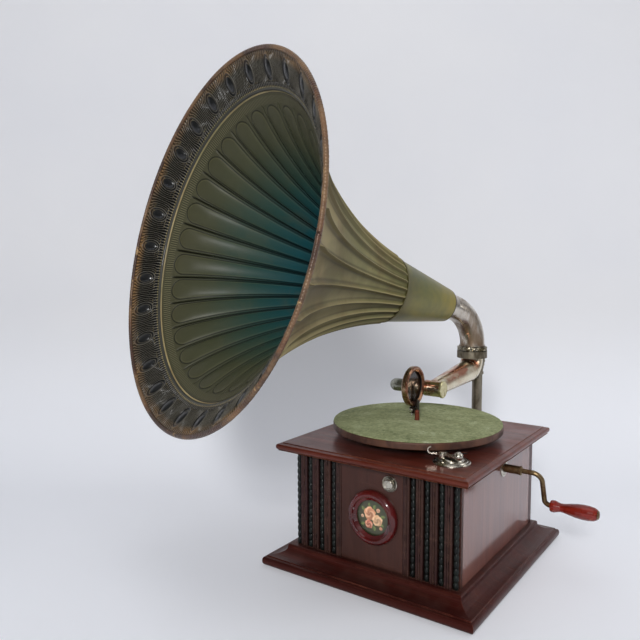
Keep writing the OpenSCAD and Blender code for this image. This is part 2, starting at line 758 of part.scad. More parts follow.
module governor_disc() {
    color("#9a8350") governor_axis() rotate_extrude($fn = fine)
        polygon([[pin_r + run, leaf_to - 4], [4.4, leaf_to - 4], [4.4, leaf_to + 1], [disc_r, leaf_to + 1],
                 [disc_r, leaf_to + 1 + disc_t], [pin_r + run, leaf_to + 1 + disc_t]]);
}

module governor_posts() {
    h = governor_half;
    color("#9a9a92") translate([-governor_off, platter_y, 0]) for (s = [-1, 1])
        difference() {
            translate([-post_w / 2, s > 0 ? h - post_t : -h, floor_z])
                cube([post_w, post_t, governor_z + post_w / 2 + 1 - floor_z]);
            translate([0, s * h - post_t - 1, governor_z]) rotate([-90, 0, 0])
                cylinder(h = 2 * (post_t + 1), r = pin_r - 0.5 + run, $fn = small);
        }
}

// Pressed turntable with a turned-down rim and a hub that sits on the spindle's collar
module platter() {
    r = platter_r;
    color("#3a2620") translate([0, platter_y, 0]) rotate_extrude($fn = fine)
        polygon(concat(
            [[seat_r + run, hub_z], [hub_r, hub_z], [hub_r, platter_z - platter_t],
             [r - 4, platter_z - platter_t], [r - 2.5, platter_z - 3.5], [r - 2.5, rim_z], [r - 0.6, rim_z],
             [r, rim_z + 1]],
            ellipse(r - 2, platter_z - 2, 2, 2, 0, 90, 6),
            [[seat_r + run, platter_z]]
        ));
}

module platter_felt() {
    color("#7d8a62") translate([0, platter_y, platter_z]) rotate_extrude($fn = fine)
        polygon([[seat_r + 1, 0], [platter_r - 1.2, 0], [platter_r - 0.8, 0.6 * felt_t],
                 [platter_r - 1.6, felt_t], [seat_r + 1, felt_t]]);
}

// Round nickel base of the brake, stepped and domed
module brake_base() {
    color("#b9b3a4") translate([0, 0, cabinet_h]) difference() {
        union() {
            translate([brake_x, brake_y, 0]) rotate_extrude($fn = fine)
                polygon(concat([[0, 0], [25, 0], [25, 1], [23.8, 2.2], [21.5, 2.2], [20.5, 3.4], [17, 3.8]],
                    ellipse(0, 3.8, 16.5, 4.8, 0, 90, 10)));
            translate([brake_px, brake_py, 0]) cylinder(h = 9.6, r = 6, $fn = small);
        }
        translate([brake_px, brake_py, 3]) cylinder(h = 8, r = 2, $fn = small);
    }
}

// Brake lever: a plate from the pivot to a ball knob, and a finger that curls up beside the rim
module brake_lever() {
    ball = [25.5, -7];
    finger = [-14, -5.5];
    curl = 5;
    color("#aaa494") translate([brake_px, brake_py, brake_z]) {
        difference() {
            union() {
                cylinder(h = 1.6, r = 7.5, $fn = small);
                rotate([0, 0, atan2(ball[1], ball[0])]) translate([0, -4.5, 0]) cube([norm(ball), 9, 1.6]);
                rotate([0, 0, atan2(finger[1], finger[0])]) translate([0, -1.8, 0]) cube([norm(finger), 3.6, 1.6]);
            }
            translate([0, 0, -1]) cylinder(h = 4, r = 2 + run, $fn = small);
        }
        translate([ball[0], ball[1], 2.9]) sphere(6, $fn = small);
        translate([finger[0], finger[1], 0]) rotate([0, 0, atan2(finger[1], finger[0])])
            translate([0, 1.7, curl + 0.15]) rotate([90, 0, 0]) difference() {
                cylinder(h = 3.4, r = curl, $fn = small);
                translate([0, 0, -1]) cylinder(h = 6, r = curl - 1.4, $fn = small);
                translate([-curl - 1, -2.5, -1]) cube([curl + 1, 2 * curl, 6]);
            }
    }
}

module brake_screw() {
    color("#cfcabb") translate([brake_px, brake_py, 0]) difference() {
        rotate_extrude($fn = small)
            polygon([[0, cabinet_h + 3], [2, cabinet_h + 3], [2, brake_z + 1.6 + run], [4.8, brake_z + 1.6 + run],
                     [4.8, brake_z + 2.6], [3.6, brake_z + 3.4], [0, brake_z + 3.4]]);
        translate([-6, -0.5, brake_z + 2.6]) cube([12, 1, 2]);
    }
}

// Cast bracket: a wall flange, a bent foot, an upright post, and the ring that carries tone arm and horn
module horn_bracket() {
    back_y = body_d / 2;
    color("#a49c8a") difference() {
        union() {
            translate([0, back_y, foot_z]) rotate([-90, 0, 0]) rotate_extrude($fn = fine)
                polygon([[0, 0], [foot_r, 0], [foot_r, 3], [foot_r - 3, foot_t], [14, foot_t + 1], [11, foot_t + 6],
                         [0, foot_t + 6]]);
            translate([0, back_y + foot_t, foot_z]) rotate([-90, 0, 0])
                cylinder(h = post_y - post_bend - back_y - foot_t, r = post_r, $fn = small);
            translate([0, post_y - post_bend, foot_z + post_bend]) rotate([0, 90, 0])
                rotate_extrude(angle = 90, $fn = fine) translate([post_bend, 0]) circle(post_r, $fn = small);
            translate([0, post_y, foot_z + post_bend])
                cylinder(h = collar_z + 4 - foot_z - post_bend, r = post_r, $fn = small);
            translate([0, post_y, leaf_z]) rotate_extrude($fn = small)
                polygon([[0, 0], [post_r, 0], [post_r + 2, 2], [post_r + 2, 5], [post_r - 0.5, 8],
                         [post_r - 0.5, leaf_h], [0, leaf_h]]);
            translate([0, pivot_y, collar_z]) cylinder(h = ring_h, r = collar_r, $fn = fine);
        }
        translate([0, pivot_y, collar_z - 40]) cylinder(h = 80, r = neck_r + slip, $fn = fine);
        translate([0, pivot_y, collar_z - 40]) cylinder(h = 40, r = neck_r + 1.4, $fn = fine);
        translate([0, pivot_y, neck_top - neck_flange - slip])
            cylinder(h = 40, r = neck_r + neck_flange + slip, $fn = fine);
        bracket_holes() cylinder(h = 20, r = 2 + run, $fn = small);
    }
}

// The four screw places of the bracket's wall flange
module bracket_holes() {
    for (a = [45:90:315]) translate([0, body_d / 2 - 8, foot_z]) rotate([-90, 0, 0])
        rotate([0, 0, a]) translate([foot_r - 7, 0, 0]) children();
}

module bracket_screws() {
    reach = 8 + foot_t + 1.2;
    color("#8b8574") bracket_holes() difference() {
        rotate_extrude($fn = small)
            polygon([[0, 8 + 0.2], [2, 8 + 0.2], [2, reach], [4.2, reach], [3.2, reach + 1.8], [0, reach + 1.8]]);
        translate([-5, -0.5, reach + 1]) cube([10, 1, 2]);
    }
}

// Ornate ring that clamps the elbow, on top of the bracket's ring
module collar_ring() {
    z0 = collar_z + ring_h;
    h = collar_h - ring_h;
    color("#b3ab98") translate([0, pivot_y, z0 + run]) rotate_extrude($fn = fine)
        polygon([[neck_r + slip, 0], [collar_r, 0], [collar_r, h - 2.5], [collar_r - 1.5, h - 0.6],
                 [collar_r - 3, h - run], [neck_r + slip, h - run]]);
}

// The elbow's plane holds the upright axis and the horn's axis; the horn lies on its -X side
module horn_plane() {
    translate([0, pivot_y, 0]) rotate([0, 0, horn_az + 180]) children();
}

// Everything along the horn's axis is drawn upright and laid along it here
module horn_axis() {
    translate([0, pivot_y, horn_z]) rotate([0, 90 - horn_tilt, horn_az]) children();
}

// A bent tube: a sector of a ring with a round wall
module bent_tube(bend, turn, r) {
    rotate_extrude(angle = turn, $fn = fine) translate([bend, 0]) difference() {
        circle(r, $fn = fine);
        circle(r - tube_t, $fn = fine);
    }
}

// Brazed sleeve round the joint of a bend and the stretch that follows it
module joint_sleeve(r) {
    translate([0, 0, -sleeve_half]) difference() {
        cylinder(h = 2 * sleeve_half, r = r + sleeve_proud, $fn = fine);
        translate([0, 0, -1]) cylinder(h = 2 * sleeve_half + 2, r = r - tube_t - sleeve_proud, $fn = fine);
    }
}

// The elbow: a straight foot in the collar, the bend, and a tapered spigot inside the horn
module horn_elbow() {
    color("#a8a092") horn_plane() {
        rotate_extrude($fn = fine)
            polygon([[neck_r - tube_t, elbow_foot], [neck_r, elbow_foot], [neck_r, shoulder_z],
                     [elbow_r + 1.5, shoulder_z], [elbow_r + 1.5, shoulder_z + 1.4], [elbow_r, shoulder_z + 1.7],
                     [elbow_r, elbow_top_z], [elbow_r - tube_t, elbow_top_z], [elbow_r - tube_t, shoulder_z + 1],
                     [neck_r - tube_t, shoulder_z - 1]]);
        translate([-elbow_bend, 0, elbow_top_z]) rotate([90, 0, 0]) {
            bent_tube(elbow_bend, elbow_turn, elbow_r);
            rotate([0, 0, elbow_turn]) translate([elbow_bend, 0, 0]) rotate([-90, 0, 0]) {
                cone_tube(elbow_end - elbow_tangent, elbow_r, elbow_end_r, tube_t);
                joint_sleeve(elbow_r);
            }
        }
    }
}

module throat_ring() {
    color("#2e2c22") horn_axis() translate([0, 0, throat_t])
        rotate_extrude($fn = fine)
            polygon([[elbow_radius(throat_t) + run, 0], [throat_r - sheet_t - run, 0],
                     [throat_r - sheet_t - run, 7], [elbow_radius(throat_t + 7) + run, 7]]);
}

module horn_cone() {
    color("#6f6a3c") horn_axis() translate([0, 0, throat_t])
        rotate_extrude($fn = fine)
            polygon([[throat_r - sheet_t, 0], [throat_r, 0], [seam_r, seam_t - throat_t],
                     [seam_r - sheet_t, seam_t - throat_t]]);
}

// Narrow band soldered over the seam between cone and bell
module seam_ring() {
    slope = (seam_r - throat_r) / (seam_t - throat_t);
    color("#4b4630") horn_axis() translate([0, 0, seam_t]) rotate_extrude($fn = fine)
        polygon([[seam_r - 3 * slope + 0.1, -3], [seam_r + 1, -2.5], [seam_r + 1, -0.1],
                 [seam_r + 0.1, -0.1]]);
}

// The flared bell; its wall has the same thickness all along
module horn_bell() {
    last = roll_t - (roll_r + roll_gap) / sqrt(1 + pow(bell_slope(rim_t), 2));
    steps = [for (i = [0:bell_steps]) seam_t + (last - seam_t) * i / bell_steps];
    color("#5c5f40") horn_axis() rotate_extrude($fn = fine)
        polygon(concat(
            [for (t = steps) [bell_radius(t) - sheet_t * sqrt(1 + pow(bell_slope(t), 2)), t]],
            [for (i = [bell_steps:-1:0]) [bell_radius(steps[i]), steps[i]]]
        ));
}

// The rolled edge round the mouth
module horn_rim() {
    color("#5a4030") horn_axis() translate([0, 0, roll_t])
        rotate_extrude($fn = fine) translate([bell_radius(roll_t), 0]) circle(roll_r, $fn = 24);
}

// The tapered tone arm: a neck in the bracket's ring, the bend, the taper and the cross barrel
module tone_arm() {
    color("#b08a5a") translate([0, pivot_y, 0]) difference() {
        union() {
            rotate_extrude($fn = fine)
                polygon([[neck_r - tube_t, collar_z], [neck_r, collar_z], [neck_r, neck_top - neck_flange],
                         [neck_r + neck_flange, neck_top - neck_flange],
                         [neck_r + neck_flange, neck_top - slip], [neck_r - tube_t, neck_top - slip]]);
            translate([0, -arm_bend, collar_z]) rotate([-90, 0, 90]) {
                bent_tube(arm_bend, arm_turn, neck_r);
                rotate([0, 0, arm_turn]) translate([arm_bend, 0, 0]) rotate([-90, 0, 0]) {
                    cone_tube(arm_len - arm_tangent, neck_r, arm_tip_r, tube_t);
                    joint_sleeve(neck_r);
                    translate([0, 0, arm_len - arm_tangent - arm_plug])
                        cylinder(h = arm_plug, r = arm_tip_r - 0.4 * tube_t, $fn = fine);
                }
            }
            translate([barrel_x0, barrel_y - pivot_y, barrel_z]) rotate([0, 90, 0])
                cylinder(h = barrel_x1 - barrel_x0, r = barrel_r, $fn = fine);
        }
        translate([barrel_x0 - 1, barrel_y - pivot_y, barrel_z]) rotate([0, 90, 0])
            cylinder(h = barrel_x1 - barrel_x0 + 2, r = goose_r + run, $fn = fine);
        translate([0, barrel_y - pivot_y, barrel_z]) rotate([arm_slope - 90, 0, 0])
            cylinder(h = barrel_r + 4, r = arm_tip_r - 2 * tube_t, $fn = fine);
    }
}

module arm_cap() {
    color("#c8bb80") translate([barrel_x1, barrel_y, barrel_z]) rotate([0, 90, 0])
        rotate_extrude($fn = fine)
            polygon([[0, -4], [goose_r - 0.2, -4], [goose_r - 0.2, 0], [barrel_r + 1, 0],
                     [barrel_r + 1, 2.6], [barrel_r, 3.4], [0, 3.4]]);
}

// The gooseneck's plane holds the axes of the cross barrel and the sound box
module goose_plane() {
    translate([0, barrel_y, barrel_z]) rotate([goose_turn, 0, 0]) children();
}

module gooseneck() {
    color("#8f8a7a") goose_plane() {
        translate([goose_cx, 0, 0]) rotate([0, 90, 0])
            cone_tube(barrel_x0 + goose_in - goose_cx, goose_r, goose_r, tube_t);
        translate([goose_cx, -goose_off, 0]) rotate([0, 90, 0])
            cone_tube(box_back_x - goose_cx, goose_r, goose_r, tube_t);
        translate([goose_cx, -goose_bend, 0]) rotate([0, 0, 90]) bent_tube(goose_bend, 180, goose_r);
    }
}

// Pieces of the sound box are drawn upright and laid along +X here, with the front face at zero
module box_axis() {
    translate([box_face_x, box_y, box_z]) rotate([0, 90, 0]) children();
}

module soundbox_case() {
    color("#6b5a48") box_axis() rotate_extrude($fn = fine)
        polygon([[goose_r + run, -box_t - socket_l], [goose_r + 2.5, -box_t - socket_l],
                 [goose_r + 3.5, -box_t], [box_r - 2, -box_t], [box_r, -box_t + 2], [box_r, -3.4],
                 [box_r - 2.4, -3.4], [box_r - 2.4, -box_t + 2.4], [goose_r + run, -box_t + 2.4]]);
}

module soundbox_ring() {
    color("#7a4a34") box_axis() rotate_extrude($fn = fine)
        polygon([[box_r - 7, -2.6], [box_r - 2.4, -3.3], [box_r, -3.3], [box_r, -1.4],
                 [box_r - 1.6, 0], [box_r - 4, 0], [box_r - 7.5, -1.8]]);
}

module soundbox_gaskets() {
    color("#2a2522") box_axis() for (z = [-4.2, -6.4]) translate([0, 0, z]) rotate_extrude($fn = fine)
        translate([box_r - 4.3, 0]) circle(0.8, $fn = 24);
}

module diaphragm() {
    color("#4a4038") box_axis() translate([0, 0, -5.5]) cylinder(h = 0.4, r = box_r - 3.4, $fn = fine);
}

// Stylus bar: a teardrop lever from the diaphragm's centre over the rim to the needle socket
module stylus_bar() {
    color("#2c2724") difference() {
        translate([box_face_x, box_y, box_z]) {
            translate([-5, 0, 0]) rotate([0, 90, 0]) cylinder(h = 2, r = 3, $fn = small);
            translate([-3.6, -2, -box_r + 8]) cube([1.4, 4, box_r - 8]);
            translate([-3.6, -3, -box_r + 8.2]) cube([6, 6, 2.6]);
            translate([1, -3.4, -foot_drop]) cube([3, 6.8, foot_drop - box_r + 10.2]);
            translate([-8, -6, -foot_drop - 9]) cube([12, 10, 9.5]);
        }
        needle_place() translate([0, 0, 2]) cylinder(h = needle_l - 2, r = needle_r + run, $fn = small);
        translate([needle_x, box_y - 10, clamp_z]) rotate([-90, 0, 0])
            cylinder(h = clamp_y - box_y + 10, r = clamp_r + run, $fn = small);
    }
}

// The needle's axis, from its tip on the felt up into the socket
module needle_place() {
    translate([needle_x, needle_y, needle_z]) rotate([-needle_tilt, 0, 0]) children();
}

module needle_screw() {
    head = clamp_y - box_y + 6 + slip;
    color("#c4beb0") translate([needle_x, clamp_y, clamp_z]) rotate([90, 0, 0]) rotate_extrude($fn = small)
        polygon([[0, 0], [clamp_r, 0], [clamp_r, head], [3, head], [3, head + 2], [2.4, head + 2.5], [0, head + 2.5]]);
}

module needle() {
    color("#d8d4c8") needle_place() rotate_extrude($fn = small)
        polygon([[0, 0], [needle_r, 5], [needle_r, needle_l - 0.5], [0, needle_l - 0.5]]);
}

plinth();
bottom_board();
front_panel();
back_panel();
left_panel();
right_panel();
corner_blocks();
reeded_strips();
beaded_rods();
medallion_ring();
medallion_picture();
top_board();
knob_escutcheon();
start_knob();
crank_escutcheon();
winding_shaft();
winding_pinion();
crank_arm();
crank_handle();
handle_rivet();
motor_top_plate();
motor_bottom_plate();
motor_pillars();
motor_screws();
motor_spacers();
spring_barrel();
barrel_cover();
mainspring();
winding_arbor();
spindle();
spindle_wheels();
governor_shaft();
governor_weights();
governor_springs();
governor_disc();
governor_posts();
platter();
platter_felt();
brake_base();
brake_lever();
brake_screw();
horn_bracket();
bracket_screws();
collar_ring();
horn_elbow();
throat_ring();
horn_cone();
seam_ring();
horn_bell();
horn_rim();
tone_arm();
arm_cap();
gooseneck();
soundbox_case();
soundbox_ring();
soundbox_gaskets();
diaphragm();
stylus_bar();
needle_screw();
needle();
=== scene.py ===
import math

import bmesh
import bpy
import numpy as np
from mathutils import Matrix, Vector


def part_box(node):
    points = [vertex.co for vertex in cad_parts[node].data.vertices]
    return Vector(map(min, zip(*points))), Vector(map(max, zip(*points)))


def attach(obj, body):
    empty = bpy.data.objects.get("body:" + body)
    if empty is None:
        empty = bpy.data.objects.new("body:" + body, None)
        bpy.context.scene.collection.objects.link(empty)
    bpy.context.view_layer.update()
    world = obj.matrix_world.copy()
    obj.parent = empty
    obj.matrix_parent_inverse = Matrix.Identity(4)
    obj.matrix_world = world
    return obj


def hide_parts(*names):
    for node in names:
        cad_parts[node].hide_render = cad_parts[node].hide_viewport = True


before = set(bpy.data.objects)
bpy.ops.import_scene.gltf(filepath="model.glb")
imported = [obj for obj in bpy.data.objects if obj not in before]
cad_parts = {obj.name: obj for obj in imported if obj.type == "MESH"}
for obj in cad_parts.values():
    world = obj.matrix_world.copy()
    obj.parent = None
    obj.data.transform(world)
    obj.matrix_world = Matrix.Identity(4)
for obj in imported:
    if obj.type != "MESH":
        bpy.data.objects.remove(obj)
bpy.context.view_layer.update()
print("frame loaded")

scene = bpy.context.scene
millimetre = 0.001
fullTurn = 2 * math.pi


# Camera, at the photograph's viewpoint
viewpoint = {
    "place": (0.458784, -0.905183, 0.449012),
    "turn": 35.422,
    "rise": 5.136,
    "roll": -0.173,
    "lens": 37.605,
}


def linkObject(name, data):
    thing = bpy.data.objects.new(name, data)
    scene.collection.objects.link(thing)
    return thing


def frameOf(spot, *axes):
    # The matrix of a frame that stands at a spot, from its three axes
    place = Matrix(axes).transposed().to_4x4()
    place.translation = spot
    return place


def cameraAxes(view):
    turn, rise, roll = (math.radians(view[k]) for k in ("turn", "rise", "roll"))
    back = Vector((math.sin(turn) * math.cos(rise), -math.cos(turn) * math.cos(rise), math.sin(rise)))
    right = Vector((0, 0, 1)).cross(back).normalized()
    up = back.cross(right)
    tiltedRight = right * math.cos(roll) + up * math.sin(roll)
    return tiltedRight, back.cross(tiltedRight), back


def makeCamera(view):
    lens = bpy.data.cameras.new("viewCamera")
    lens.lens = view["lens"]
    lens.sensor_width = 36
    lens.clip_start, lens.clip_end = 0.01, 50
    camera = linkObject("viewCamera", lens)
    camera.matrix_world = frameOf(view["place"], *cameraAxes(view))
    scene.camera = camera


makeCamera(viewpoint)
print("camera placed")


# Small tools for colours, nodes and meshes
def paint(code):
    parts = [int(code[i:i + 2], 16) / 255 for i in (1, 3, 5)]
    return tuple(c / 12.92 if c < 0.04045 else ((c + 0.055) / 1.055) ** 2.4 for c in parts) + (1.0,)


def feed(tree, value, slot):
    # A socket takes a wire, another socket, a colour code or a plain value
    if isinstance(value, Wire):
        tree.links.new(value.socket, slot)
    elif isinstance(value, bpy.types.NodeSocket):
        tree.links.new(value, slot)
    elif isinstance(value, str) and value.startswith("#"):
        slot.default_value = paint(value)
    else:
        slot.default_value = value


def fill(tree, node, values):
    for label, value in values.items():
        feed(tree, value, node.inputs[label])


def nodeOf(tree, kind, values=(), **settings):
    node = tree.nodes.new(kind)
    for label, setting in settings.items():
        setattr(node, label, setting)
    fill(tree, node, dict(values))
    return node


class Wire:
    # A socket that takes plain arithmetic, in a geometry or a shader tree
    def __init__(self, tree, socket):
        self.tree = tree
        self.socket = socket

    def use(self, operation, *others):
        values = dict(enumerate((self,) + others))
        return Wire(self.tree, nodeOf(self.tree, "ShaderNodeMath", values, operation=operation).outputs[0])

    def __add__(self, other):
        return self.use("ADD", other)

    def __sub__(self, other):
        return self.use("SUBTRACT", other)

    def __mul__(self, other):
        return self.use("MULTIPLY", other)

    def __truediv__(self, other):
        return self.use("DIVIDE", other)

    def __pow__(self, other):
        return self.use("POWER", other)

    def __rsub__(self, other):
        return (self * -1.0) + other

    def __neg__(self):
        return self * -1.0

    __radd__ = __add__
    __rmul__ = __mul__

    def between(self, low, high, start=0.0, end=1.0, curve="SMOOTHSTEP"):
        values = dict(enumerate((self, low, high, start, end)))
        node = nodeOf(self.tree, "ShaderNodeMapRange", values, interpolation_type=curve)
        return Wire(self.tree, node.outputs[0])

    def hill(self, centre, width):
        return (-(((self - centre) / width) ** 2.0)).use("EXPONENT")

    def least(self, other):
        return self.use("MINIMUM", other)

    def most(self, other):
        return self.use("MAXIMUM", other)

    def cosine(self):
        return self.use("COSINE")

    def sine(self):
        return self.use("SINE")


def split(tree, vector):
    return [Wire(tree, part) for part in nodeOf(tree, "ShaderNodeSeparateXYZ", {0: vector}).outputs]


def joined(tree, *parts):
    return nodeOf(tree, "ShaderNodeCombineXYZ", dict(enumerate(parts))).outputs[0]


def meshOf(name, points, faces):
    mesh = bpy.data.meshes.new(name)
    mesh.from_pydata([tuple(p) for p in points], [], faces)
    mesh.update()
    return mesh


def tidyMesh(mesh, crease=35):
    work = bmesh.new()
    work.from_mesh(mesh)
    bmesh.ops.remove_doubles(work, verts=work.verts, dist=0.00001)
    bmesh.ops.recalc_face_normals(work, faces=work.faces)
    work.to_mesh(mesh)
    work.free()
    mesh.shade_smooth()
    mesh.set_sharp_from_angle(angle=math.radians(crease))


def finishPiece(piece, material, body, replaced=()):
    piece.data.materials.clear()
    piece.data.materials.append(material)
    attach(piece, body)
    if replaced:
        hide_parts(*replaced)
    return piece


def ringFaces(first, second, sides):
    # Faces between two rings of points that begin at first and second
    steps = [(i, (i + 1) % sides) for i in range(sides)]
    return [(first + a, first + b, second + b, second + a) for a, b in steps]


def turned(name, profile, sides, place):
    # A closed profile of (radius, height) turned round its axis
    count = len(profile)
    turns = [fullTurn * i / sides for i in range(sides)]
    points = [(r * math.cos(a), r * math.sin(a), z) for r, z in profile for a in turns]
    faces = [face for k in range(count) for face in ringFaces(k * sides, (k + 1) % count * sides, sides)]
    mesh = meshOf(name, points, faces)
    mesh.transform(place)
    tidyMesh(mesh)
    return linkObject(name, mesh)


def shellMesh(name, rowsOf, wide, pointAt):
    # A closed shell: a back and a front grid, joined along their border
    points = [pointAt(i / (wide - 1) * 2 - 1, j / (rowsOf - 1), layer)
              for layer in (0, 1) for j in range(rowsOf) for i in range(wide)]
    size = rowsOf * wide
    faces = []
    for j in range(rowsOf - 1):
        for i in range(wide - 1):
            a = j * wide + i
            faces.append((a, a + wide, a + wide + 1, a + 1))
            faces.append((size + a, size + a + 1, size + a + wide + 1, size + a + wide))
    border = list(range(wide)) + [j * wide + wide - 1 for j in range(1, rowsOf)]
    border += [(rowsOf - 1) * wide + i for i in range(wide - 2, -1, -1)]
    border += [j * wide for j in range(rowsOf - 2, 0, -1)]
    faces += [(a, b, size + b, size + a) for a, b in zip(border, border[1:] + border[:1])]
    return linkObject(name, meshOf(name, points, faces))


# Geometry Nodes: a tree with named inputs, run once and kept as a plain mesh
def newTree(name, inputs):
    tree = bpy.data.node_groups.new(name, "GeometryNodeTree")
    tree.interface.new_socket("Geometry", in_out="OUTPUT", socket_type="NodeSocketGeometry")
    source = tree.nodes.new("NodeGroupInput")
    for label, value in inputs.items():
        kind = "NodeSocketInt" if isinstance(value, int) else "NodeSocketFloat"
        tree.interface.new_socket(label, in_out="INPUT", socket_type=kind).default_value = value
    return tree, {label: Wire(tree, source.outputs[label]) for label in inputs}


def endTree(tree, geometry, material):
    realize = nodeOf(tree, "GeometryNodeRealizeInstances", {0: geometry})
    dress = nodeOf(tree, "GeometryNodeSetMaterial", {0: realize.outputs[0], "Material": material})
    nodeOf(tree, "NodeGroupOutput", {0: dress.outputs[0]})


def runTree(name, tree, inputs, place, crease=35):
    piece = linkObject(name, bpy.data.meshes.new(name))
    modifier = piece.modifiers.new(name, "NODES")
    modifier.node_group = tree
    for item in tree.interface.items_tree:
        if item.item_type == "SOCKET" and item.in_out == "INPUT":
            modifier[item.identifier] = inputs[item.name]
    depsgraph = bpy.context.evaluated_depsgraph_get()
    mesh = bpy.data.meshes.new_from_object(
        piece.evaluated_get(depsgraph), preserve_all_data_layers=True, depsgraph=depsgraph
    )
    piece.modifiers.clear()
    mesh.name = name
    piece.data = mesh
    mesh.transform(place)
    tidyMesh(mesh, crease)
    return piece


def keepValue(tree, geometry, name, value):
    values = {"Name": name, "Geometry": geometry, "Value": value}
    node = nodeOf(tree, "GeometryNodeStoreNamedAttribute", values, data_type="FLOAT", domain="POINT")
    return node.outputs[0]


def gridOf(tree, rows, columns):
    # A grid, and each point's share of the way along and across it
    size = {"Size X": 1.0, "Size Y": 1.0, "Vertices X": rows, "Vertices Y": columns}
    grid = nodeOf(tree, "GeometryNodeMeshGrid", size)
    x, y = split(tree, tree.nodes.new("GeometryNodeInputPosition").outputs[0])[:2]
    return grid.outputs[0], x + 0.5, y + 0.5


def moved(tree, geometry, spot):
    return nodeOf(tree, "GeometryNodeSetPosition", {"Geometry": geometry, "Position": spot}).outputs[0]


def roundSpot(tree, angle, radius, height, unit=1.0):
    return joined(tree, angle.cosine() * radius * unit, angle.sine() * radius * unit, height * unit)


def ringOfPieces(name, source, ring, material):
    # Copies of one piece on a circle, each turned with its place
    inputs = {
        "Count": ring["count"], "Radius": ring["radius"], "Height": ring["height"],
        "First Angle": math.radians(ring["firstAngle"]),
    }
    tree, size = newTree(name, inputs)
    circle = nodeOf(tree, "GeometryNodeMeshCircle", {"Radius": 1.0, "Vertices": size["Count"]})
    model = nodeOf(tree, "GeometryNodeObjectInfo", {"Object": source, "As Instance": True})
    index = Wire(tree, tree.nodes.new("GeometryNodeInputIndex").outputs[0])
    turn = (index / size["Count"]) * fullTurn + size["First Angle"]
    rotation = nodeOf(tree, "FunctionNodeEulerToRotation", {0: joined(tree, 0.0, 0.0, turn)})
    copies = nodeOf(tree, "GeometryNodeInstanceOnPoints", {
        "Points": moved(tree, circle.outputs[0], roundSpot(tree, turn, size["Radius"], size["Height"])),
        "Instance": model.outputs["Geometry"],
        "Rotation": rotation.outputs[0],
    })
    endTree(tree, copies.outputs[0], material)
    piece = runTree(name, tree, inputs, Matrix.Translation((*ring["centre"], 0)))
    bpy.data.objects.remove(source)
    return piece


# Shader tools
def newMaterial(name):
    material = bpy.data.materials.new(name)
    material.use_nodes = True
    tree = material.node_tree
    where = tree.nodes.new("ShaderNodeTexCoord").outputs["Object"]
    return material, tree, tree.nodes["Principled BSDF"], where


def attribute(tree, name):
    return Wire(tree, nodeOf(tree, "ShaderNodeAttribute", attribute_name=name).outputs["Fac"])


def placed(tree, vector, scale=(1, 1, 1), turn=(0, 0, 0), shift=(0, 0, 0)):
    turn = [math.radians(a) for a in turn]
    values = {"Scale": scale, "Rotation": turn, "Location": shift, "Vector": vector}
    return nodeOf(tree, "ShaderNodeMapping", values).outputs[0]


def noiseAt(tree, vector, scale, detail=3.0, rough=0.55, warp=0.0):
    values = {"Vector": vector, "Scale": scale, "Detail": detail, "Roughness": rough, "Distortion": warp}
    return Wire(tree, nodeOf(tree, "ShaderNodeTexNoise", values).outputs[0])


def blendColour(tree, factor, first, second, blend="MIX"):
    values = {0: factor, 6: first, 7: second}
    return Wire(tree, nodeOf(tree, "ShaderNodeMix", values, data_type="RGBA", blend_type=blend).outputs[2])


def layered(tree, tone, layers):
    # Colours laid over a tone in turn, each through its mask
    for mask, colour in layers:
        tone = blendColour(tree, mask, tone, colour)
    return tone


def colourRamp(tree, factor, stops):
    node = nodeOf(tree, "ShaderNodeValToRGB", {0: factor})
    ramp = node.color_ramp
    while len(ramp.elements) < len(stops):
        ramp.elements.new(0.5)
    for element, (spot, code) in zip(ramp.elements, stops):
        element.position = spot
        element.color = paint(code)
    return Wire(tree, node.outputs[0])


def raised(tree, height, depth, normal=None):
    values = {"Distance": depth, "Strength": 1.0, "Height": height}
    if normal is not None:
        values["Normal"] = normal
    return nodeOf(tree, "ShaderNodeBump", values).outputs[0]


def softNormal(tree, radius, samples=4):
    return nodeOf(tree, "ShaderNodeBevel", {"Radius": radius}, samples=samples).outputs[0]


def surfaceNormal(tree):
    return tree.nodes.new("ShaderNodeNewGeometry").outputs["Normal"]


def upward(tree):
    # How far the surface faces up, from -1 to 1
    return split(tree, surfaceNormal(tree))[2]


def dotOf(tree, first, second):
    node = nodeOf(tree, "ShaderNodeVectorMath", {0: first, 1: second}, operation="DOT_PRODUCT")
    return Wire(tree, node.outputs["Value"])


# Shared effects: patches, dirt and painted shade in crevices, edge wear, wood grain, scratches, settled dust
def newGroup(name, inputs, outputs=("Mask",)):
    # An input given as None is a vector, and one of four numbers a colour
    group = bpy.data.node_groups.new(name, "ShaderNodeTree")
    for label, value in inputs.items():
        kind = "Vector" if value is None else "Color" if isinstance(value, tuple) else "Float"
        socket = group.interface.new_socket(label, in_out="INPUT", socket_type="NodeSocket" + kind)
        if value is not None:
            socket.default_value = value
    for label in outputs:
        kind = "Color" if label == "Color" else "Float"
        group.interface.new_socket(label, in_out="OUTPUT", socket_type="NodeSocket" + kind)
    source = group.nodes.new("NodeGroupInput")
    sink = group.nodes.new("NodeGroupOutput")
    return group, {label: Wire(group, source.outputs[label]) for label in inputs}, sink


def effect(tree, group, values, output="Mask"):
    return Wire(tree, nodeOf(tree, "ShaderNodeGroup", values, node_tree=group).outputs[output])


def makePatches():
    inputs = {"Vector": None, "Scale": 20.0, "Detail": 5.0, "Warp": 0.4, "Low": 0.45, "High": 0.65}
    group, given, sink = newGroup("patches", inputs)
    cloud = noiseAt(group, given["Vector"], given["Scale"], given["Detail"], 0.6, given["Warp"])
    feed(group, cloud.between(given["Low"], given["High"]), sink.inputs["Mask"])
    return group
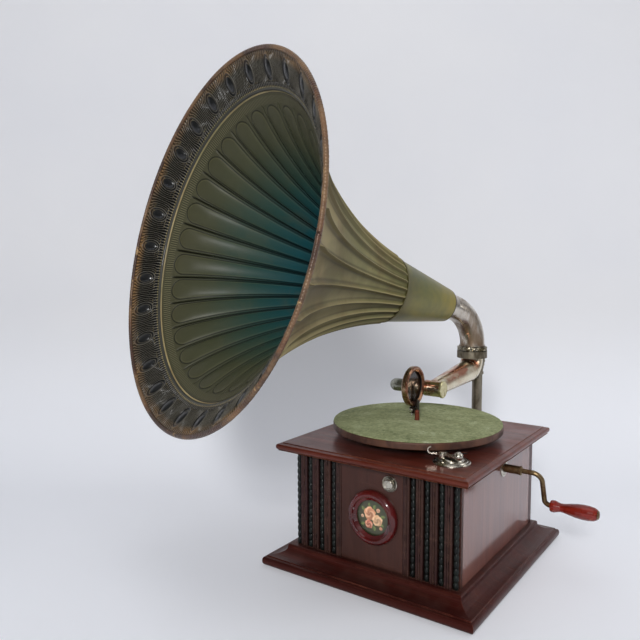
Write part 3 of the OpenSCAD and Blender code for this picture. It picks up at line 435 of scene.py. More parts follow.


# Darkening where the surface is hidden from its surroundings: dirt in the hollows together with painted shade
def makeCreviceShade():
    group, given, sink = newGroup("creviceDirtAndShade", {"Reach": 0.004, "Low": 0.1, "High": 0.7})
    shade = nodeOf(group, "ShaderNodeAmbientOcclusion", {"Distance": given["Reach"]}, samples=6)
    hidden = 1.0 - Wire(group, shade.outputs["AO"])
    feed(group, hidden.between(given["Low"], given["High"]), sink.inputs["Mask"])
    return group


def makeEdgeWear():
    inputs = {"Vector": None, "Radius": 0.0008, "Scale": 90.0, "Low": 0.02, "High": 0.12}
    group, given, sink = newGroup("edgeWear", inputs)
    edge = 1.0 - dotOf(group, softNormal(group, given["Radius"]), surfaceNormal(group))
    broken = noiseAt(group, given["Vector"], given["Scale"], 4.0, 0.65).between(0.38, 0.62)
    feed(group, (edge * broken).between(given["Low"], given["High"]), sink.inputs["Mask"])
    return group


def makeGrain():
    inputs = {"Vector": None, "Scale": 10.0, "Light": (1, 1, 1, 1), "Dark": (0, 0, 0, 1)}
    group, given, sink = newGroup("woodGrain", inputs, ("Color", "Height"))
    drift = noiseAt(group, given["Vector"], given["Scale"] * 0.25, 2.0, 0.5, 0.6)
    streak = noiseAt(group, given["Vector"], given["Scale"], 6.0, 0.62, 0.35)
    pores = noiseAt(group, given["Vector"], given["Scale"] * 5.0, 2.0, 0.5)
    tone = (streak * 0.65 + drift * 0.35).between(0.36, 0.66)
    pore = pores.between(0.60, 0.72)
    body = blendColour(group, tone, given["Dark"], given["Light"])
    feed(group, blendColour(group, pore * 0.45, body, given["Dark"]), sink.inputs["Color"])
    feed(group, streak * 0.4 - pore * 0.5, sink.inputs["Height"])
    return group


def makeScratches():
    inputs = {"Vector": None, "Scale": 6.0, "Low": 0.66, "High": 0.72}
    group, given, sink = newGroup("scratches", inputs)
    total = None
    for turn, stretch in (((20, 10, 35), 55), ((-35, 25, -50), 70), ((80, -15, 70), 60)):
        strands = placed(group, given["Vector"], (1, stretch, stretch), turn)
        line = noiseAt(group, strands, given["Scale"], 2.0, 0.5).between(given["Low"], given["High"])
        total = line if total is None else total.most(line)
    thin = noiseAt(group, given["Vector"], given["Scale"] * 2.0, 2.0).between(0.45, 0.6)
    feed(group, total * thin, sink.inputs["Mask"])
    return group


def makeDust():
    inputs = {"Vector": None, "Scale": 40.0, "Low": 0.35, "High": 0.75}
    group, given, sink = newGroup("settledDust", inputs)
    level = upward(group).between(0.3, 0.95)
    cloud = noiseAt(group, given["Vector"], given["Scale"], 5.0, 0.65).between(given["Low"], given["High"])
    feed(group, level * cloud, sink.inputs["Mask"])
    return group


patches = makePatches()
creviceDirtAndShade = makeCreviceShade()
edgeWear = makeEdgeWear()
woodGrain = makeGrain()
scratches = makeScratches()
settledDust = makeDust()
print("shared effects made")


def patchMask(tree, where, scale, low=0.45, high=0.65, detail=5.0, warp=0.4):
    values = {"Vector": where, "Scale": scale, "Detail": detail, "Warp": warp, "Low": low, "High": high}
    return effect(tree, patches, values)


# Finishes of wood: colours are the light and dark grain, aged wood, dirt with painted shade in hollows, and
# worn edges
plainWood = {"ageAmount": 0.5, "wear": 0.5, "scratch": 0.2, "dust": 0.05, "shine": 0.15, "tint": "#ffffff",
             "coatIor": 1.5}

woodLooks = {
    "mahoganyBody": {
        "colours": ("#3c1410", "#290d0b", "#331511", "#160a08", "#7a4636"), "stretch": (0.9, 14, 14),
        "grainScale": 9.0, "ageScale": 7.0, "scratch": 0.25, "dust": 0.06, "rough": 0.30,
        "coat": 0.05, "coatRough": 0.1, "shine": 0.35, "tint": "#ffa088",
    },
    "mahoganyTop": {
        "colours": ("#64281b", "#401710", "#56271b", "#180b08", "#8a523c"), "stretch": (0.7, 15, 15),
        "grainScale": 8.0, "ageScale": 6.0, "wear": 0.6, "scratch": 0.22, "dust": 0.07, "rough": 0.34,
        "coat": 0.22, "coatRough": 0.18, "shine": 0.6, "tint": "#ffa088",
    },
    # Right side: a faded finish, its base colour lightened as painted sheen from the bright surroundings
    "mahoganySideFadedSheen": {
        "colours": ("#774639", "#633730", "#84584c", "#1c0e0a", "#93705f"), "stretch": (14, 14, 0.9),
        "grainScale": 8.0, "ageScale": 5.0, "ageAmount": 0.6, "wear": 0.7, "scratch": 0.22, "rough": 0.36,
        "coat": 1.0, "coatRough": 0.12, "coatIor": 1.7,
    },
    "mahoganyFront": {
        "colours": ("#462820", "#38201a", "#4a2f29", "#140a09", "#6d4638"), "stretch": (14, 14, 0.9),
        "grainScale": 9.0, "ageScale": 6.0, "rough": 0.42, "coat": 0.2, "coatRough": 0.25,
    },
    "mahoganyReeds": {
        "colours": ("#3c241c", "#281411", "#331b21", "#100808", "#77584a"), "stretch": (16, 16, 0.9),
        "grainScale": 9.0, "ageScale": 12.0, "wear": 0.6, "scratch": 0.25, "dust": 0.04, "rough": 0.42,
        "coat": 0.15, "coatRough": 0.25,
    },
    "medallionWood": {
        "colours": ("#5a100f", "#3c080a", "#300709", "#140304", "#8a3a2c"), "stretch": (3, 3, 3),
        "grainScale": 9.0, "ageScale": 20.0, "scratch": 0.15, "dust": 0.03, "rough": 0.25,
        "coat": 1.0, "coatRough": 0.06,
    },
    "handleWood": {
        "colours": ("#861d0d", "#560e05", "#4c0f08", "#1c0604", "#b0603c"), "stretch": (1.2, 12, 12),
        "grainScale": 14.0, "ageScale": 30.0, "ageAmount": 0.4, "scratch": 0.35, "dust": 0.04, "rough": 0.25,
        "coat": 0.8, "coatRough": 0.08,
    },
    "innerWood": {
        "colours": ("#a07c55", "#74532f", "#6b4e33", "#2a1c10", "#b89a70"), "stretch": (1, 12, 12),
        "grainScale": 9.0, "ageScale": 9.0, "wear": 0.3, "dust": 0.25, "rough": 0.7,
        "coat": 0.0, "coatRough": 0.5,
    },
}


def woodFinish(name, look):
    look = {**plainWood, **look}
    material, tree, skin, where = newMaterial(name)
    light, dark, agedTone, dirtAndShadeTone, wornTone = look["colours"]
    along = placed(tree, where, look["stretch"])
    grain = {"Vector": along, "Scale": look["grainScale"], "Light": light, "Dark": dark}
    aged = patchMask(tree, where, look["ageScale"], 0.42, 0.7)
    # Dirt and painted shade in the hollows, from an occlusion mask
    dirtAndShade = effect(tree, creviceDirtAndShade, {"Reach": 0.006, "Low": 0.25, "High": 0.8})
    marks = effect(tree, scratches, {"Vector": where, "Scale": 5.0})
    worn = effect(tree, edgeWear, {"Vector": where, "Radius": 0.0012, "Low": 0.015, "High": 0.1})
    dusty = effect(tree, settledDust, {"Vector": where, "Scale": 25.0})
    tone = layered(tree, effect(tree, woodGrain, grain, "Color"), (
        (aged * look["ageAmount"], agedTone),
        (dirtAndShade * 0.75, dirtAndShadeTone),
        (marks * look["scratch"], wornTone),
        (worn * look["wear"], wornTone),
        (dusty * look["dust"], "#8f8276"),
    ))
    height = effect(tree, woodGrain, grain, "Height")
    relief = height * 0.5 + noiseAt(tree, where, 9.0, 2.0) * 0.8 - marks * 0.4
    fill(tree, skin, {
        "Base Color": tone,
        "Roughness": aged * 0.12 + marks * 0.15 + dusty * 0.15 + look["rough"],
        "Specular IOR Level": look["shine"],
        "Specular Tint": look["tint"],
        "Coat Weight": look["coat"],
        "Coat Roughness": look["coatRough"],
        "Coat IOR": look["coatIor"],
        "Normal": raised(tree, relief, 0.00035, softNormal(tree, 0.0007)),
    })
    return material


# Finishes of metal: colours are the base, its clouding, stains, dirt with painted shade in hollows, and worn
# edges
plainMetal = {"stretch": (1, 1, 1), "stainLow": 0.45, "stainHigh": 0.65, "roughStain": 0.2, "metal": 1.0,
              "depth": 0.0002, "pitScale": 400.0, "reach": 0.004, "dirtAndShadeAmount": 0.8, "edge": 0.0005,
              "coat": 0.0, "coatRough": 0.03}

metalLooks = {
    "nickelPlate": {
        "colours": ("#c9c4b8", "#9a917e", "#6f6655", "#1c1914", "#e8e4da"), "stainScale": 60.0,
        "stainLow": 0.5, "stainHigh": 0.72, "roughStain": 0.25, "rough": 0.16, "depth": 0.0001,
    },
    "elbowNickel": {
        "colours": ("#d2cbc0", "#9c8d7b", "#7c6650", "#1c1611", "#dcd6cb"), "stainScale": 16.0,
        "stretch": (1.6, 1.6, 0.7), "stainLow": 0.42, "stainHigh": 0.66, "roughStain": 0.16, "rough": 0.17,
        "depth": 0.00035, "pitScale": 260.0,
    },
    "collarNickel": {
        "colours": ("#97907f", "#6d634f", "#50462f", "#100e0a", "#efe9da"), "stainScale": 70.0,
        "stainLow": 0.46, "stainHigh": 0.68, "rough": 0.2, "depth": 0.0003, "edge": 0.0007, "reach": 0.003,
        "dirtAndShadeAmount": 0.95,
    },
    "bracketIron": {
        "colours": ("#8d8575", "#6a6252", "#574e3f", "#15120e", "#c9c2b0"), "stainScale": 55.0,
        "stretch": (1, 1, 0.4), "stainLow": 0.42, "stainHigh": 0.64, "rough": 0.3, "metal": 0.9,
        "depth": 0.0005, "pitScale": 160.0,
    },
    "armBrass": {
        "colours": ("#dcd3ba", "#bfa07a", "#a8683f", "#2a1b10", "#e9dcb8"), "stainScale": 22.0,
        # rubbed: copper on the upper side, worn plating and painted reflection
        "rubbed": "#a35b3c", "stretch": (1.4, 0.5, 1.2), "stainLow": 0.5, "stainHigh": 0.66,
        "roughStain": 0.15, "rough": 0.15, "depth": 0.0003,
    },
    "capBrass": {
        "colours": ("#d0c79c", "#a99a63", "#86774a", "#2a2414", "#f1ecd0"), "stainScale": 90.0,
        "stainLow": 0.5, "stainHigh": 0.7, "rough": 0.22,
    },
    "gooseNickel": {
        "colours": ("#8d8d80", "#6d6f62", "#5b5d50", "#14150f", "#c4c3b6"), "stainScale": 55.0,
        "stainLow": 0.4, "rough": 0.2, "metal": 0.95,
    },
    "boxBronze": {
        "colours": ("#a58d70", "#7d5f45", "#6b4c34", "#1e140d", "#d8c8a4"), "stainScale": 60.0,
        "stainLow": 0.42, "stainHigh": 0.64, "roughStain": 0.15, "rough": 0.18, "depth": 0.00015,
    },
    "boxCopper": {
        "colours": ("#a27e64", "#7c503c", "#743f2f", "#24100a", "#dfbf9a"), "stainScale": 60.0,
        "stainLow": 0.42, "stainHigh": 0.62, "roughStain": 0.15, "rough": 0.16, "depth": 0.00015,
    },
    "crankSteel": {
        "colours": ("#7e6a4c", "#5f4530", "#573823", "#1a110a", "#d2c08c"), "stainScale": 45.0,
        "stainLow": 0.4, "roughStain": 0.25, "rough": 0.28, "metal": 0.95, "depth": 0.0003,
    },
    "rustedSteel": {
        "colours": ("#7d3a26", "#5c2717", "#47190f", "#1a0a06", "#b5694a"), "stainScale": 90.0,
        "stainLow": 0.42, "stainHigh": 0.64, "rough": 0.35, "metal": 0.4, "depth": 0.0003, "coat": 0.3,
        "coatRough": 0.15,
    },
    "platterPaint": {
        "colours": ("#5c3a28", "#472a1d", "#3a2219", "#0e0806", "#9a7454"), "stainScale": 30.0,
        "stainLow": 0.4, "roughStain": 0.15, "rough": 0.38, "metal": 0.2,
    },
    "hornDark": {
        "colours": ("#2b2a20", "#211f18", "#3c3826", "#0a0907", "#8c8460"), "stainScale": 80.0,
        "rough": 0.38, "metal": 0.3,
    },
    "seamPaint": {
        "colours": ("#5b5639", "#45412c", "#6e6546", "#0f0d09", "#9d9468"), "stainScale": 60.0,
        "rough": 0.4, "metal": 0.2,
    },
    "motorSteel": {
        "colours": ("#96999a", "#74766f", "#5e5a4e", "#16140f", "#d0d0cc"), "stainScale": 30.0,
        "stainHigh": 0.7, "roughStain": 0.25, "rough": 0.35,
    },
    "motorBrass": {
        "colours": ("#b4935a", "#8d6f3e", "#735833", "#1f170b", "#e6d29a"), "stainScale": 50.0,
        "stainHigh": 0.7, "rough": 0.28,
    },
    "springSteel": {
        "colours": ("#6d7073", "#4f5358", "#434a57", "#121210", "#b6b9bd"), "stainScale": 60.0,
        "stainHigh": 0.7, "rough": 0.3,
    },
    "darkSteel": {
        "colours": ("#3a342f", "#2a2522", "#4a3a2e", "#0c0a08", "#9a9184"), "stainScale": 120.0,
        "stainLow": 0.5, "stainHigh": 0.7, "rough": 0.25, "metal": 0.9,
    },
    "brightSteel": {
        "colours": ("#cfcdc6", "#a5a198", "#8a8274", "#24211c", "#f2f0ea"), "stainScale": 150.0,
        "stainLow": 0.5, "stainHigh": 0.7, "rough": 0.2, "depth": 0.0001,
    },
}


def metalFinish(name, look):
    look = {**plainMetal, **look}
    material, tree, skin, where = newMaterial(name)
    base, second, stainTone, dirtAndShadeTone, wornTone = look["colours"]
    stretched = placed(tree, where, look["stretch"])
    stain = patchMask(tree, stretched, look["stainScale"], look["stainLow"], look["stainHigh"], warp=0.8)
    cloud = noiseAt(tree, where, look["stainScale"] * 3.1, 4.0, 0.6)
    # Dirt and painted shade in the hollows, from an occlusion mask
    dirtAndShade = effect(tree, creviceDirtAndShade, {"Reach": look["reach"], "Low": 0.2, "High": 0.8})
    marks = effect(tree, scratches, {"Vector": where, "Scale": 14.0})
    layers = [(stain, stainTone), (cloud.between(0.35, 0.7) * 0.35, second),
              (dirtAndShade * look["dirtAndShadeAmount"], dirtAndShadeTone)]
    if "rubbed" in look:  # copper where the plate is rubbed through, and painted copper reflection, on the upper side
        broken = noiseAt(tree, placed(tree, where, (1.5, 0.6, 1.5)), 45.0, 3.0).between(0.38, 0.56)
        layers.append((upward(tree).between(0.05, 0.5) * broken * 0.85, look["rubbed"]))
    layers.append((effect(tree, edgeWear, {"Vector": where, "Radius": look["edge"]}) * 0.6, wornTone))
    relief = noiseAt(tree, where, look["pitScale"], 3.0, 0.6) * 0.35 + cloud * 0.8 - marks * 0.25
    fill(tree, skin, {
        "Base Color": layered(tree, base, layers),
        "Roughness": stain * look["roughStain"] + cloud * 0.12 + dirtAndShade * 0.2 + marks * 0.12 + look["rough"],
        "Metallic": look["metal"],
        "Coat Weight": look["coat"],
        "Coat Roughness": look["coatRough"],
        "Normal": raised(tree, relief, look["depth"], softNormal(tree, 0.0003)),
    })
    return material


def beadFinish():
    material, tree, skin, where = newMaterial("beadBlack")
    green = patchMask(tree, where, 60.0, 0.4, 0.65)
    dusty = patchMask(tree, where, 240.0, 0.58, 0.75)
    fill(tree, skin, {
        "Base Color": layered(tree, "#0a0c0b", ((green, "#141a17"), (dusty * 0.35, "#4a4a42"))),
        "Roughness": dusty * 0.25 + green * 0.1 + 0.34,
        "Specular IOR Level": 0.25,
        "Normal": raised(tree, noiseAt(tree, where, 300.0, 3.0), 0.0002),
    })
    return material


def rubberFinish():
    material, tree, skin, where = newMaterial("rubberBlack")
    perished = patchMask(tree, where, 150.0, 0.4, 0.7)
    fill(tree, skin, {
        "Base Color": blendColour(tree, perished, "#1b1816", "#332d28"),
        "Roughness": perished * 0.2 + 0.6,
        "Normal": raised(tree, noiseAt(tree, where, 500.0, 3.0), 0.0002),
    })
    return material


def micaFinish():
    # The sound box's disc: dark, glossy and cloudy
    material, tree, skin, where = newMaterial("mica")
    cloud = noiseAt(tree, where, 55.0, 4.0, 0.6, 1.2)
    stops = ((0.36, "#150e0a"), (0.5, "#261a12"), (0.6, "#433224"), (0.7, "#6d5a42"))
    fill(tree, skin, {
        "Base Color": colourRamp(tree, cloud, stops),
        "Roughness": cloud.between(0.3, 0.8) * 0.2 + 0.08,
        "Specular IOR Level": 0.3,
        "Coat Weight": 0.3,
        "Coat Roughness": 0.12,
        "Normal": raised(tree, noiseAt(tree, where, 90.0, 2.0), 0.0025),
    })
    return material


finishes = {name: woodFinish(name, look) for name, look in woodLooks.items()}
finishes.update({name: metalFinish(name, look) for name, look in metalLooks.items()})
finishes["beadBlack"] = beadFinish()
finishes["rubberBlack"] = rubberFinish()
finishes["mica"] = micaFinish()
print("wood and metal finishes made")


# Horn: everything along its axis is drawn upright, in millimetres, and laid along it at the end
horn = {
    "start": (0.0, 201.6, 355.98),
    "heading": -109.5,
    "tilt": 13.2,
    "coneFrom": 73.0,
    "seamAt": 208.0,
    "seamRadius": 52.9,
    "mouthAt": 522.0,
    "mouthRadius": 257.5,
    "flutes": 28,
    "sheet": 0.8,
}


def hornPlace():
    heading, tilt = math.radians(horn["heading"]), math.radians(horn["tilt"])
    axis = Vector((math.cos(tilt) * math.cos(heading), math.cos(tilt) * math.sin(heading), math.sin(tilt)))
    side = Vector((0, 0, 1)).cross(axis).normalized()
    return frameOf(Vector(horn["start"]) * millimetre, side, axis.cross(side), axis)


hornFrame = hornPlace()

bellInputs = {
    "Seam At": horn["seamAt"],
    "Seam Radius": horn["seamRadius"],
    "Bell Length": horn["mouthAt"] - horn["seamAt"],
    "Bell Spread": horn["mouthRadius"] - horn["seamRadius"],
    "Sheet": horn["sheet"],
    "First Flute": 0.0,
    "Flutes": horn["flutes"],
}


def bellShape(size, t):
    # Radius and slope of the bell at t along the axis
    u = (t - size["Seam At"]) / size["Bell Length"]
    radius = size["Seam Radius"] + size["Bell Spread"] * (u * 0.30 + (u ** 2.0) * 0.53 + (u ** 8.0) * 0.17)
    slope = (size["Bell Spread"] / size["Bell Length"]) * (u * 1.06 + (u ** 7.0) * 1.36 + 0.30)
    return radius, slope


def pressedSheet(name, inputs, relief, material, squeeze, spread):
    # A ring of sheet metal from From to To, both faces and both edges, pressed by the relief
    tree, size = newTree(name, inputs)
    rows = size["Inner Rows"] + size["Outer Rows"] + 1.0
    columns = size["Flutes"] * size["Columns Per Flute"] + 1.0
    geometry, rowShare, columnShare = gridOf(tree, rows, columns)
    row = (rowShare * (rows - 1.0)).use("ROUND")
    column = (columnShare * (columns - 1.0)).use("ROUND")
    row = row * (1.0 - row.use("GREATER_THAN", rows - 1.5))  # the last row closes on the first
    outer = row.use("GREATER_THAN", size["Inner Rows"] - 0.5)
    innerShare = row / (size["Inner Rows"] - 1.0)
    outerShare = 1.0 - (row - size["Inner Rows"]) / (size["Outer Rows"] - 1.0)
    share = innerShare * (1.0 - outer) + outerShare * outer
    t = size["From"] + (size["To"] - size["From"]) * (1.0 - ((1.0 - share) ** squeeze))
    flute = (column / size["Columns Per Flute"]).use("FLOOR")
    step = (column - flute * size["Columns Per Flute"]) / size["Columns Per Flute"] - 0.5
    reach = 1.0 - ((1.0 - step.use("ABSOLUTE") * 2.0) ** spread)
    angle = (flute + 0.5 + step.use("SIGN") * reach * 0.5) / size["Flutes"] * fullTurn + size["First Flute"]
    radius, slope = bellShape(size, t)
    half = radius * math.pi / size["Flutes"]
    height, marks = relief(size, t, half, reach, outer)
    lift = height + (outer - 0.5) * size["Sheet"] - size["Sheet"] * 0.5
    lean = ((slope ** 2.0) + 1.0) ** 0.5
    spot = roundSpot(tree, angle, radius + lift / lean, t - lift * slope / lean, millimetre)
    for label, value in {"outside": outer, **marks}.items():
        geometry = keepValue(tree, geometry, label, value)
    endTree(tree, moved(tree, geometry, spot), material)
    return runTree(name, tree, inputs, hornFrame, crease=50)


petals = {
    "From": 208.3,
    "To": 487.4,
    "Inner Rows": 92,
    "Outer Rows": 48,
    "Columns Per Flute": 24,
    "Tongue End": 477.2,
    "Tongue Width": 0.78,
    "Tongue Rise": 1.6,
    "Tongue Swell": 2.6,
    "Groove End": 479.0,
    "Groove Depth": 3.2,
    "Groove Width": 1.25,
    "Rib Rise": 2.2,
    "Rib Width": 2.6,
}


def petalRelief(size, t, half, reach, outer):
    # Domed tongues with round ends, parted by grooves that stand out behind as ribs
    fromGroove = (1.0 - reach) * half
    fromMiddle = reach * half
    halfWidth = half * size["Tongue Width"]
    past = ((t - size["Tongue End"]) * 1.5 + halfWidth).most(0.0)
    edge = ((fromMiddle ** 2.0) + (past ** 2.0)) ** 0.5 - halfWidth
    scale = (half / 21.0).most(0.4).least(1.0)
    dome = 1.0 - (edge.least(0.0) / (scale * 2.2)).use("EXPONENT")
    swell = (1.0 - (fromMiddle / halfWidth) ** 2.0).most(0.0)
    swell = swell * t.between(size["Tongue End"], size["Tongue End"] - 26.0)
    groove = fromGroove.hill(0.0, size["Groove Width"]) - fromGroove.hill(3.2, 1.6) * 0.22
    ends = t.between(size["Groove End"], size["Groove End"] - 4.0)
    ends = ends * t.between(size["From"], size["From"] + 4.0)
    rib = outer * fromGroove.hill(0.0, size["Rib Width"])
    height = groove * size["Groove Depth"] * ends * scale.most(0.62)
    height = height + rib * size["Rib Rise"] * ends * scale.most(0.5)
    height = height - (dome * size["Tongue Rise"] + swell * size["Tongue Swell"]) * scale
    return height, {"along": t, "edge": edge, "fromGroove": fromGroove, "acrossHalf": half}


band = {
    "From": 487.4,
    "To": 518.0,
    "Inner Rows": 32,
    "Outer Rows": 9,
    "Columns Per Flute": 76,
    "Bead At": 490.9,
    "Bead Rise": 1.5,
    "Band Middle": 506.3,
    "Oval Half Width": 11.0,
    "Oval Half Length": 19.0,
    "Oval Rise": 2.3,
    "Ripples": 5.0,
    "Ripple Rise": 0.8,
}


def bandRelief(size, t, half, reach, outer):
    # A smooth bead, then tall ovals with ripples that spread from one to the next
    across = reach * half
    along = (t - size["Band Middle"]) * 1.9
    share = (along / size["Oval Half Length"]) ** 2.0
    rim = size["Oval Half Width"] * (1.0 - share).most(0.02) ** 0.5
    oval = ((across / size["Oval Half Width"]) ** 2.0 + share) ** 0.5
    dome = (1.0 - (oval / 0.62) ** 2.0).most(0.0) ** 0.6
    ring = oval.hill(0.93, 0.07) * 0.5
    bead = t.hill(size["Bead At"], 0.95)
    line = t.hill(size["Bead At"] - 2.5, 1.0)
    ripple = (across - rim) / (half - rim)
    wave = (ripple * size["Ripples"] * fullTurn).cosine() * oval.between(0.98, 1.06)
    wave = wave * t.between(493.2, 496.0) * t.between(517.8, 514.0)
    height = line * 1.2 - bead * size["Bead Rise"] - (dome + ring) * size["Oval Rise"]
    height = height - wave * size["Ripple Rise"]
    return height, {"along": t, "ripple": ripple, "oval": oval}


def sheetPaint(tree, where, along):
    # Outside and inside paint of the bell by its distance along the horn; inside, the dark towards the throat
    # is painted shade
    depth = along.between(horn["seamAt"], horn["mouthAt"], curve="LINEAR")
    drift = noiseAt(tree, where, 9.0, 3.0)
    # Inside: teal to olive paint, darkened towards the throat as painted shade
    inside = colourRamp(tree, depth + (drift - 0.5) * 0.12, (
        (0.0, "#08171b"), (0.2, "#0c2c32"), (0.38, "#15454a"),
        (0.54, "#26433c"), (0.74, "#3e412d"), (1.0, "#453f2d"),
    ))
    inside = blendColour(tree, patchMask(tree, where, 22.0, 0.45, 0.7) * 0.25, inside, "#4b4a33")
    outside = colourRamp(tree, depth + (drift - 0.5) * 0.3, (
        (0.0, "#6c6a3e"), (0.3, "#8d865a"), (0.6, "#a3966a"), (0.85, "#a5956a"), (1.0, "#6e5c40"),
    ))
    return inside, layered(tree, outside, (
        (patchMask(tree, where, 10.0, 0.45, 0.66) * 0.6, "#6e5836"),
        (patchMask(tree, placed(tree, where, shift=(3, 1, 2)), 8.0) * 0.45, "#5a603c"),
    ))


def petalFinish():
    material, tree, skin, where = newMaterial("hornPaint")
    along, edge, fromGroove, half, outer = (
        attribute(tree, name) for name in ("along", "edge", "fromGroove", "acrossHalf", "outside")
    )
    outer = outer.between(0.4, 0.6)
    inside, outside = sheetPaint(tree, where, along)
    # Inside: painted shade round each tongue and in the grooves, a faint painted highlight within each
    # outline, and painted shade and highlight on the ticks beyond the tongues
    outline = edge.hill(0.2, 0.8) * along.between(230.0, 330.0)
    outlineHighlight = edge.hill(-2.0, 0.5) * along.between(260.0, 360.0)
    line = fromGroove.hill(0.0, 1.25) * along.between(479.5, 475.5)
    tick = ((half - fromGroove) / half * (13.0 * math.pi)).cosine()
    tickZone = along.between(478.0, 479.2) * along.between(486.4, 485.2)
    inside = layered(tree, inside, (
        (outlineHighlight * 0.12, "#8a8560"),
        (outline * 0.9, "#10110b"),
        (line * 0.95, "#080a07"),
        (tick.between(-0.2, 0.7) * tickZone * 0.5, "#23231a"),
        (tick.between(0.1, -0.8) * tickZone * 0.3, "#8a8562"),
    ))
    # Outside: painted highlight on the ribs, painted shadow beside them, painted shade on the underside,
    # small chips
    undersideShade = upward(tree).between(0.05, -0.6)
    outside = layered(tree, outside, (
        (fromGroove.hill(4.6, 1.8) * 0.45, "#2c2714"),
        (fromGroove.hill(0.0, 1.2) * 0.6, "#b3a478"),
        (undersideShade * 0.65, "#3a3220"),
        (patchMask(tree, where, 130.0, 0.66, 0.72) * 0.6, "#3c2c1c"),
    ))
    relief = noiseAt(tree, where, 14.0, 2.0) * 1.2 + noiseAt(tree, where, 420.0, 2.0) * 0.12
    relief = relief - outline * (1.0 - outer) * 0.9 - tick * tickZone * (1.0 - outer) * 0.35
    fill(tree, skin, {
        "Base Color": blendColour(tree, outer, inside, outside),
        "Roughness": noiseAt(tree, where, 30.0, 4.0) * 0.2 + outer * 0.05 + 0.36,
        "Specular IOR Level": 0.17,
        "Coat Weight": 0.04,
        "Coat Roughness": 0.25,
        "Normal": raised(tree, relief, 0.0005),
    })
    return material


def bandFinish():
    material, tree, skin, where = newMaterial("hornBand")
    along, ripple, oval, outer = (attribute(tree, name) for name in ("along", "ripple", "oval", "outside"))
    outer = outer.between(0.4, 0.6)
    inside, outside = sheetPaint(tree, where, along)
    beyond = oval.between(0.98, 1.04)
    wave = (ripple * (fullTurn * band["Ripples"])).cosine()
    # The light lines are painted highlight: rings round each oval and the ripples between them
    near = oval.hill(0.95, 0.06) * 1.4 + oval.hill(0.68, 0.07) * 1.1 - 0.5
    lines = (wave * beyond + near * (1.0 - beyond)) * along.between(492.6, 494.6)
    dark = along.between(492.2, 493.6)
    crown = oval.between(0.62, 0.5)
    rubbed = (patchMask(tree, where, 9.0, 0.4, 0.62) * 0.7 + 0.3) * along.between(510.5, 516.5)
    # Black band paint with painted highlight along its ridges, worn tan towards the edge, and a dark grey
    # crown on each oval
    black = layered(tree, "#060605", (
        (lines.between(-0.1, 0.95), "#5d594f"),
        (rubbed * (lines.between(-0.4, 0.8) * 0.75 + 0.25), "#8a6a44"),
        (crown * 0.7, "#151616"),
    ))
    inside = layered(tree, inside, (
        # Grey bead as painted highlight, and painted shade in the groove beside it
        (along.hill(490.4, 1.7) * 0.95, "#30302c"),
        (along.hill(488.4, 1.1) * 0.9, "#12110c"),
        (dark, black),
    ))
    shown = beyond * along.between(497.0, 500.0)
    # Outside: painted shade in the ripples' valleys and painted highlight on their tops
    outside = layered(tree, outside, (
        (wave.between(0.3, -0.5) * shown * along.between(514.0, 511.0) * 0.75, "#2e2416"),
        (wave.between(0.2, 0.9) * shown * 0.5, "#b8a67c"),
    ))
    relief = lines * 0.5 + noiseAt(tree, where, 25.0, 2.0) * 0.5 + noiseAt(tree, where, 380.0, 2.0) * 0.1
    fill(tree, skin, {
        "Base Color": blendColour(tree, outer, inside, outside),
        "Roughness": noiseAt(tree, where, 60.0, 4.0) * 0.15 + (0.42 - dark * (1.0 - outer) * 0.18),
        "Specular IOR Level": 0.3,
        "Coat Weight": crown * 0.5 + along.hill(490.9, 1.2) * 0.3 + 0.06,
        "Coat Roughness": 0.15,
        "Normal": raised(tree, relief, 0.0013),
    })
    return material


def coneFinish():
    material, tree, skin, where = newMaterial("conePaint")
    drift = noiseAt(tree, where, 12.0, 4.0, 0.6, 0.4)
    tone = colourRamp(tree, drift, ((0.3, "#565a3c"), (0.5, "#76703f"), (0.68, "#8a7c40")))
    axis, start = hornFrame.col[2].xyz, hornFrame.col[3].xyz
    reach = (dotOf(tree, where, axis) - start.dot(axis)) / millimetre
    broken = noiseAt(tree, where, 20.0, 3.0).between(0.3, 0.6)
    uneven = noiseAt(tree, where, 30.0, 2.0) + noiseAt(tree, where, 450.0, 2.0) * 0.15
    fill(tree, skin, {
        "Base Color": layered(tree, tone, (
            (patchMask(tree, where, 60.0, 0.6, 0.75) * 0.4, "#3a3724"),
            # Painted shade: darker grey, broken, over the last 48 mm before the seam
            (reach.between(horn["seamAt"] - 48.0, horn["seamAt"]) * broken * 0.5, "#3d3a38"),
            (reach.between(horn["coneFrom"] + 2.2, horn["coneFrom"] + 1.2), "#17160f"),
        )),
        "Roughness": drift * 0.2 + 0.3,
        "Specular IOR Level": 0.25,
        "Coat Weight": 0.12,
        "Coat Roughness": 0.2,
        "Normal": raised(tree, uneven, 0.0005),
    })
    return material


def rimFinish():
    material, tree, skin, where = newMaterial("rimCopper")
    rubbed = patchMask(tree, where, 16.0, 0.42, 0.62, detail=6.0)
    bright = patchMask(tree, where, 70.0, 0.6, 0.7)
    red = patchMask(tree, placed(tree, where, shift=(5, 2, 1)), 30.0)
    twist = (attribute(tree, "around") * 420.0).sine()
    fill(tree, skin, {
        "Base Color": layered(tree, "#46342a", (
            (rubbed, "#7c6044"),
            (bright * 0.7, "#a98a5e"),
            (red * 0.3, "#6b3a26"),
            (twist.between(0.4, 1.0) * bright * 0.5, "#c0a070"),
        )),
        "Roughness": rubbed * 0.15 + 0.32,
        "Metallic": 0.2,
        "Normal": raised(tree, noiseAt(tree, where, 140.0, 4.0) * 1.2 + twist * 0.25, 0.0007),
    })
    return material


hornPaint, hornBand, rimCopper = petalFinish(), bandFinish(), rimFinish()
finishes["conePaint"] = coneFinish()

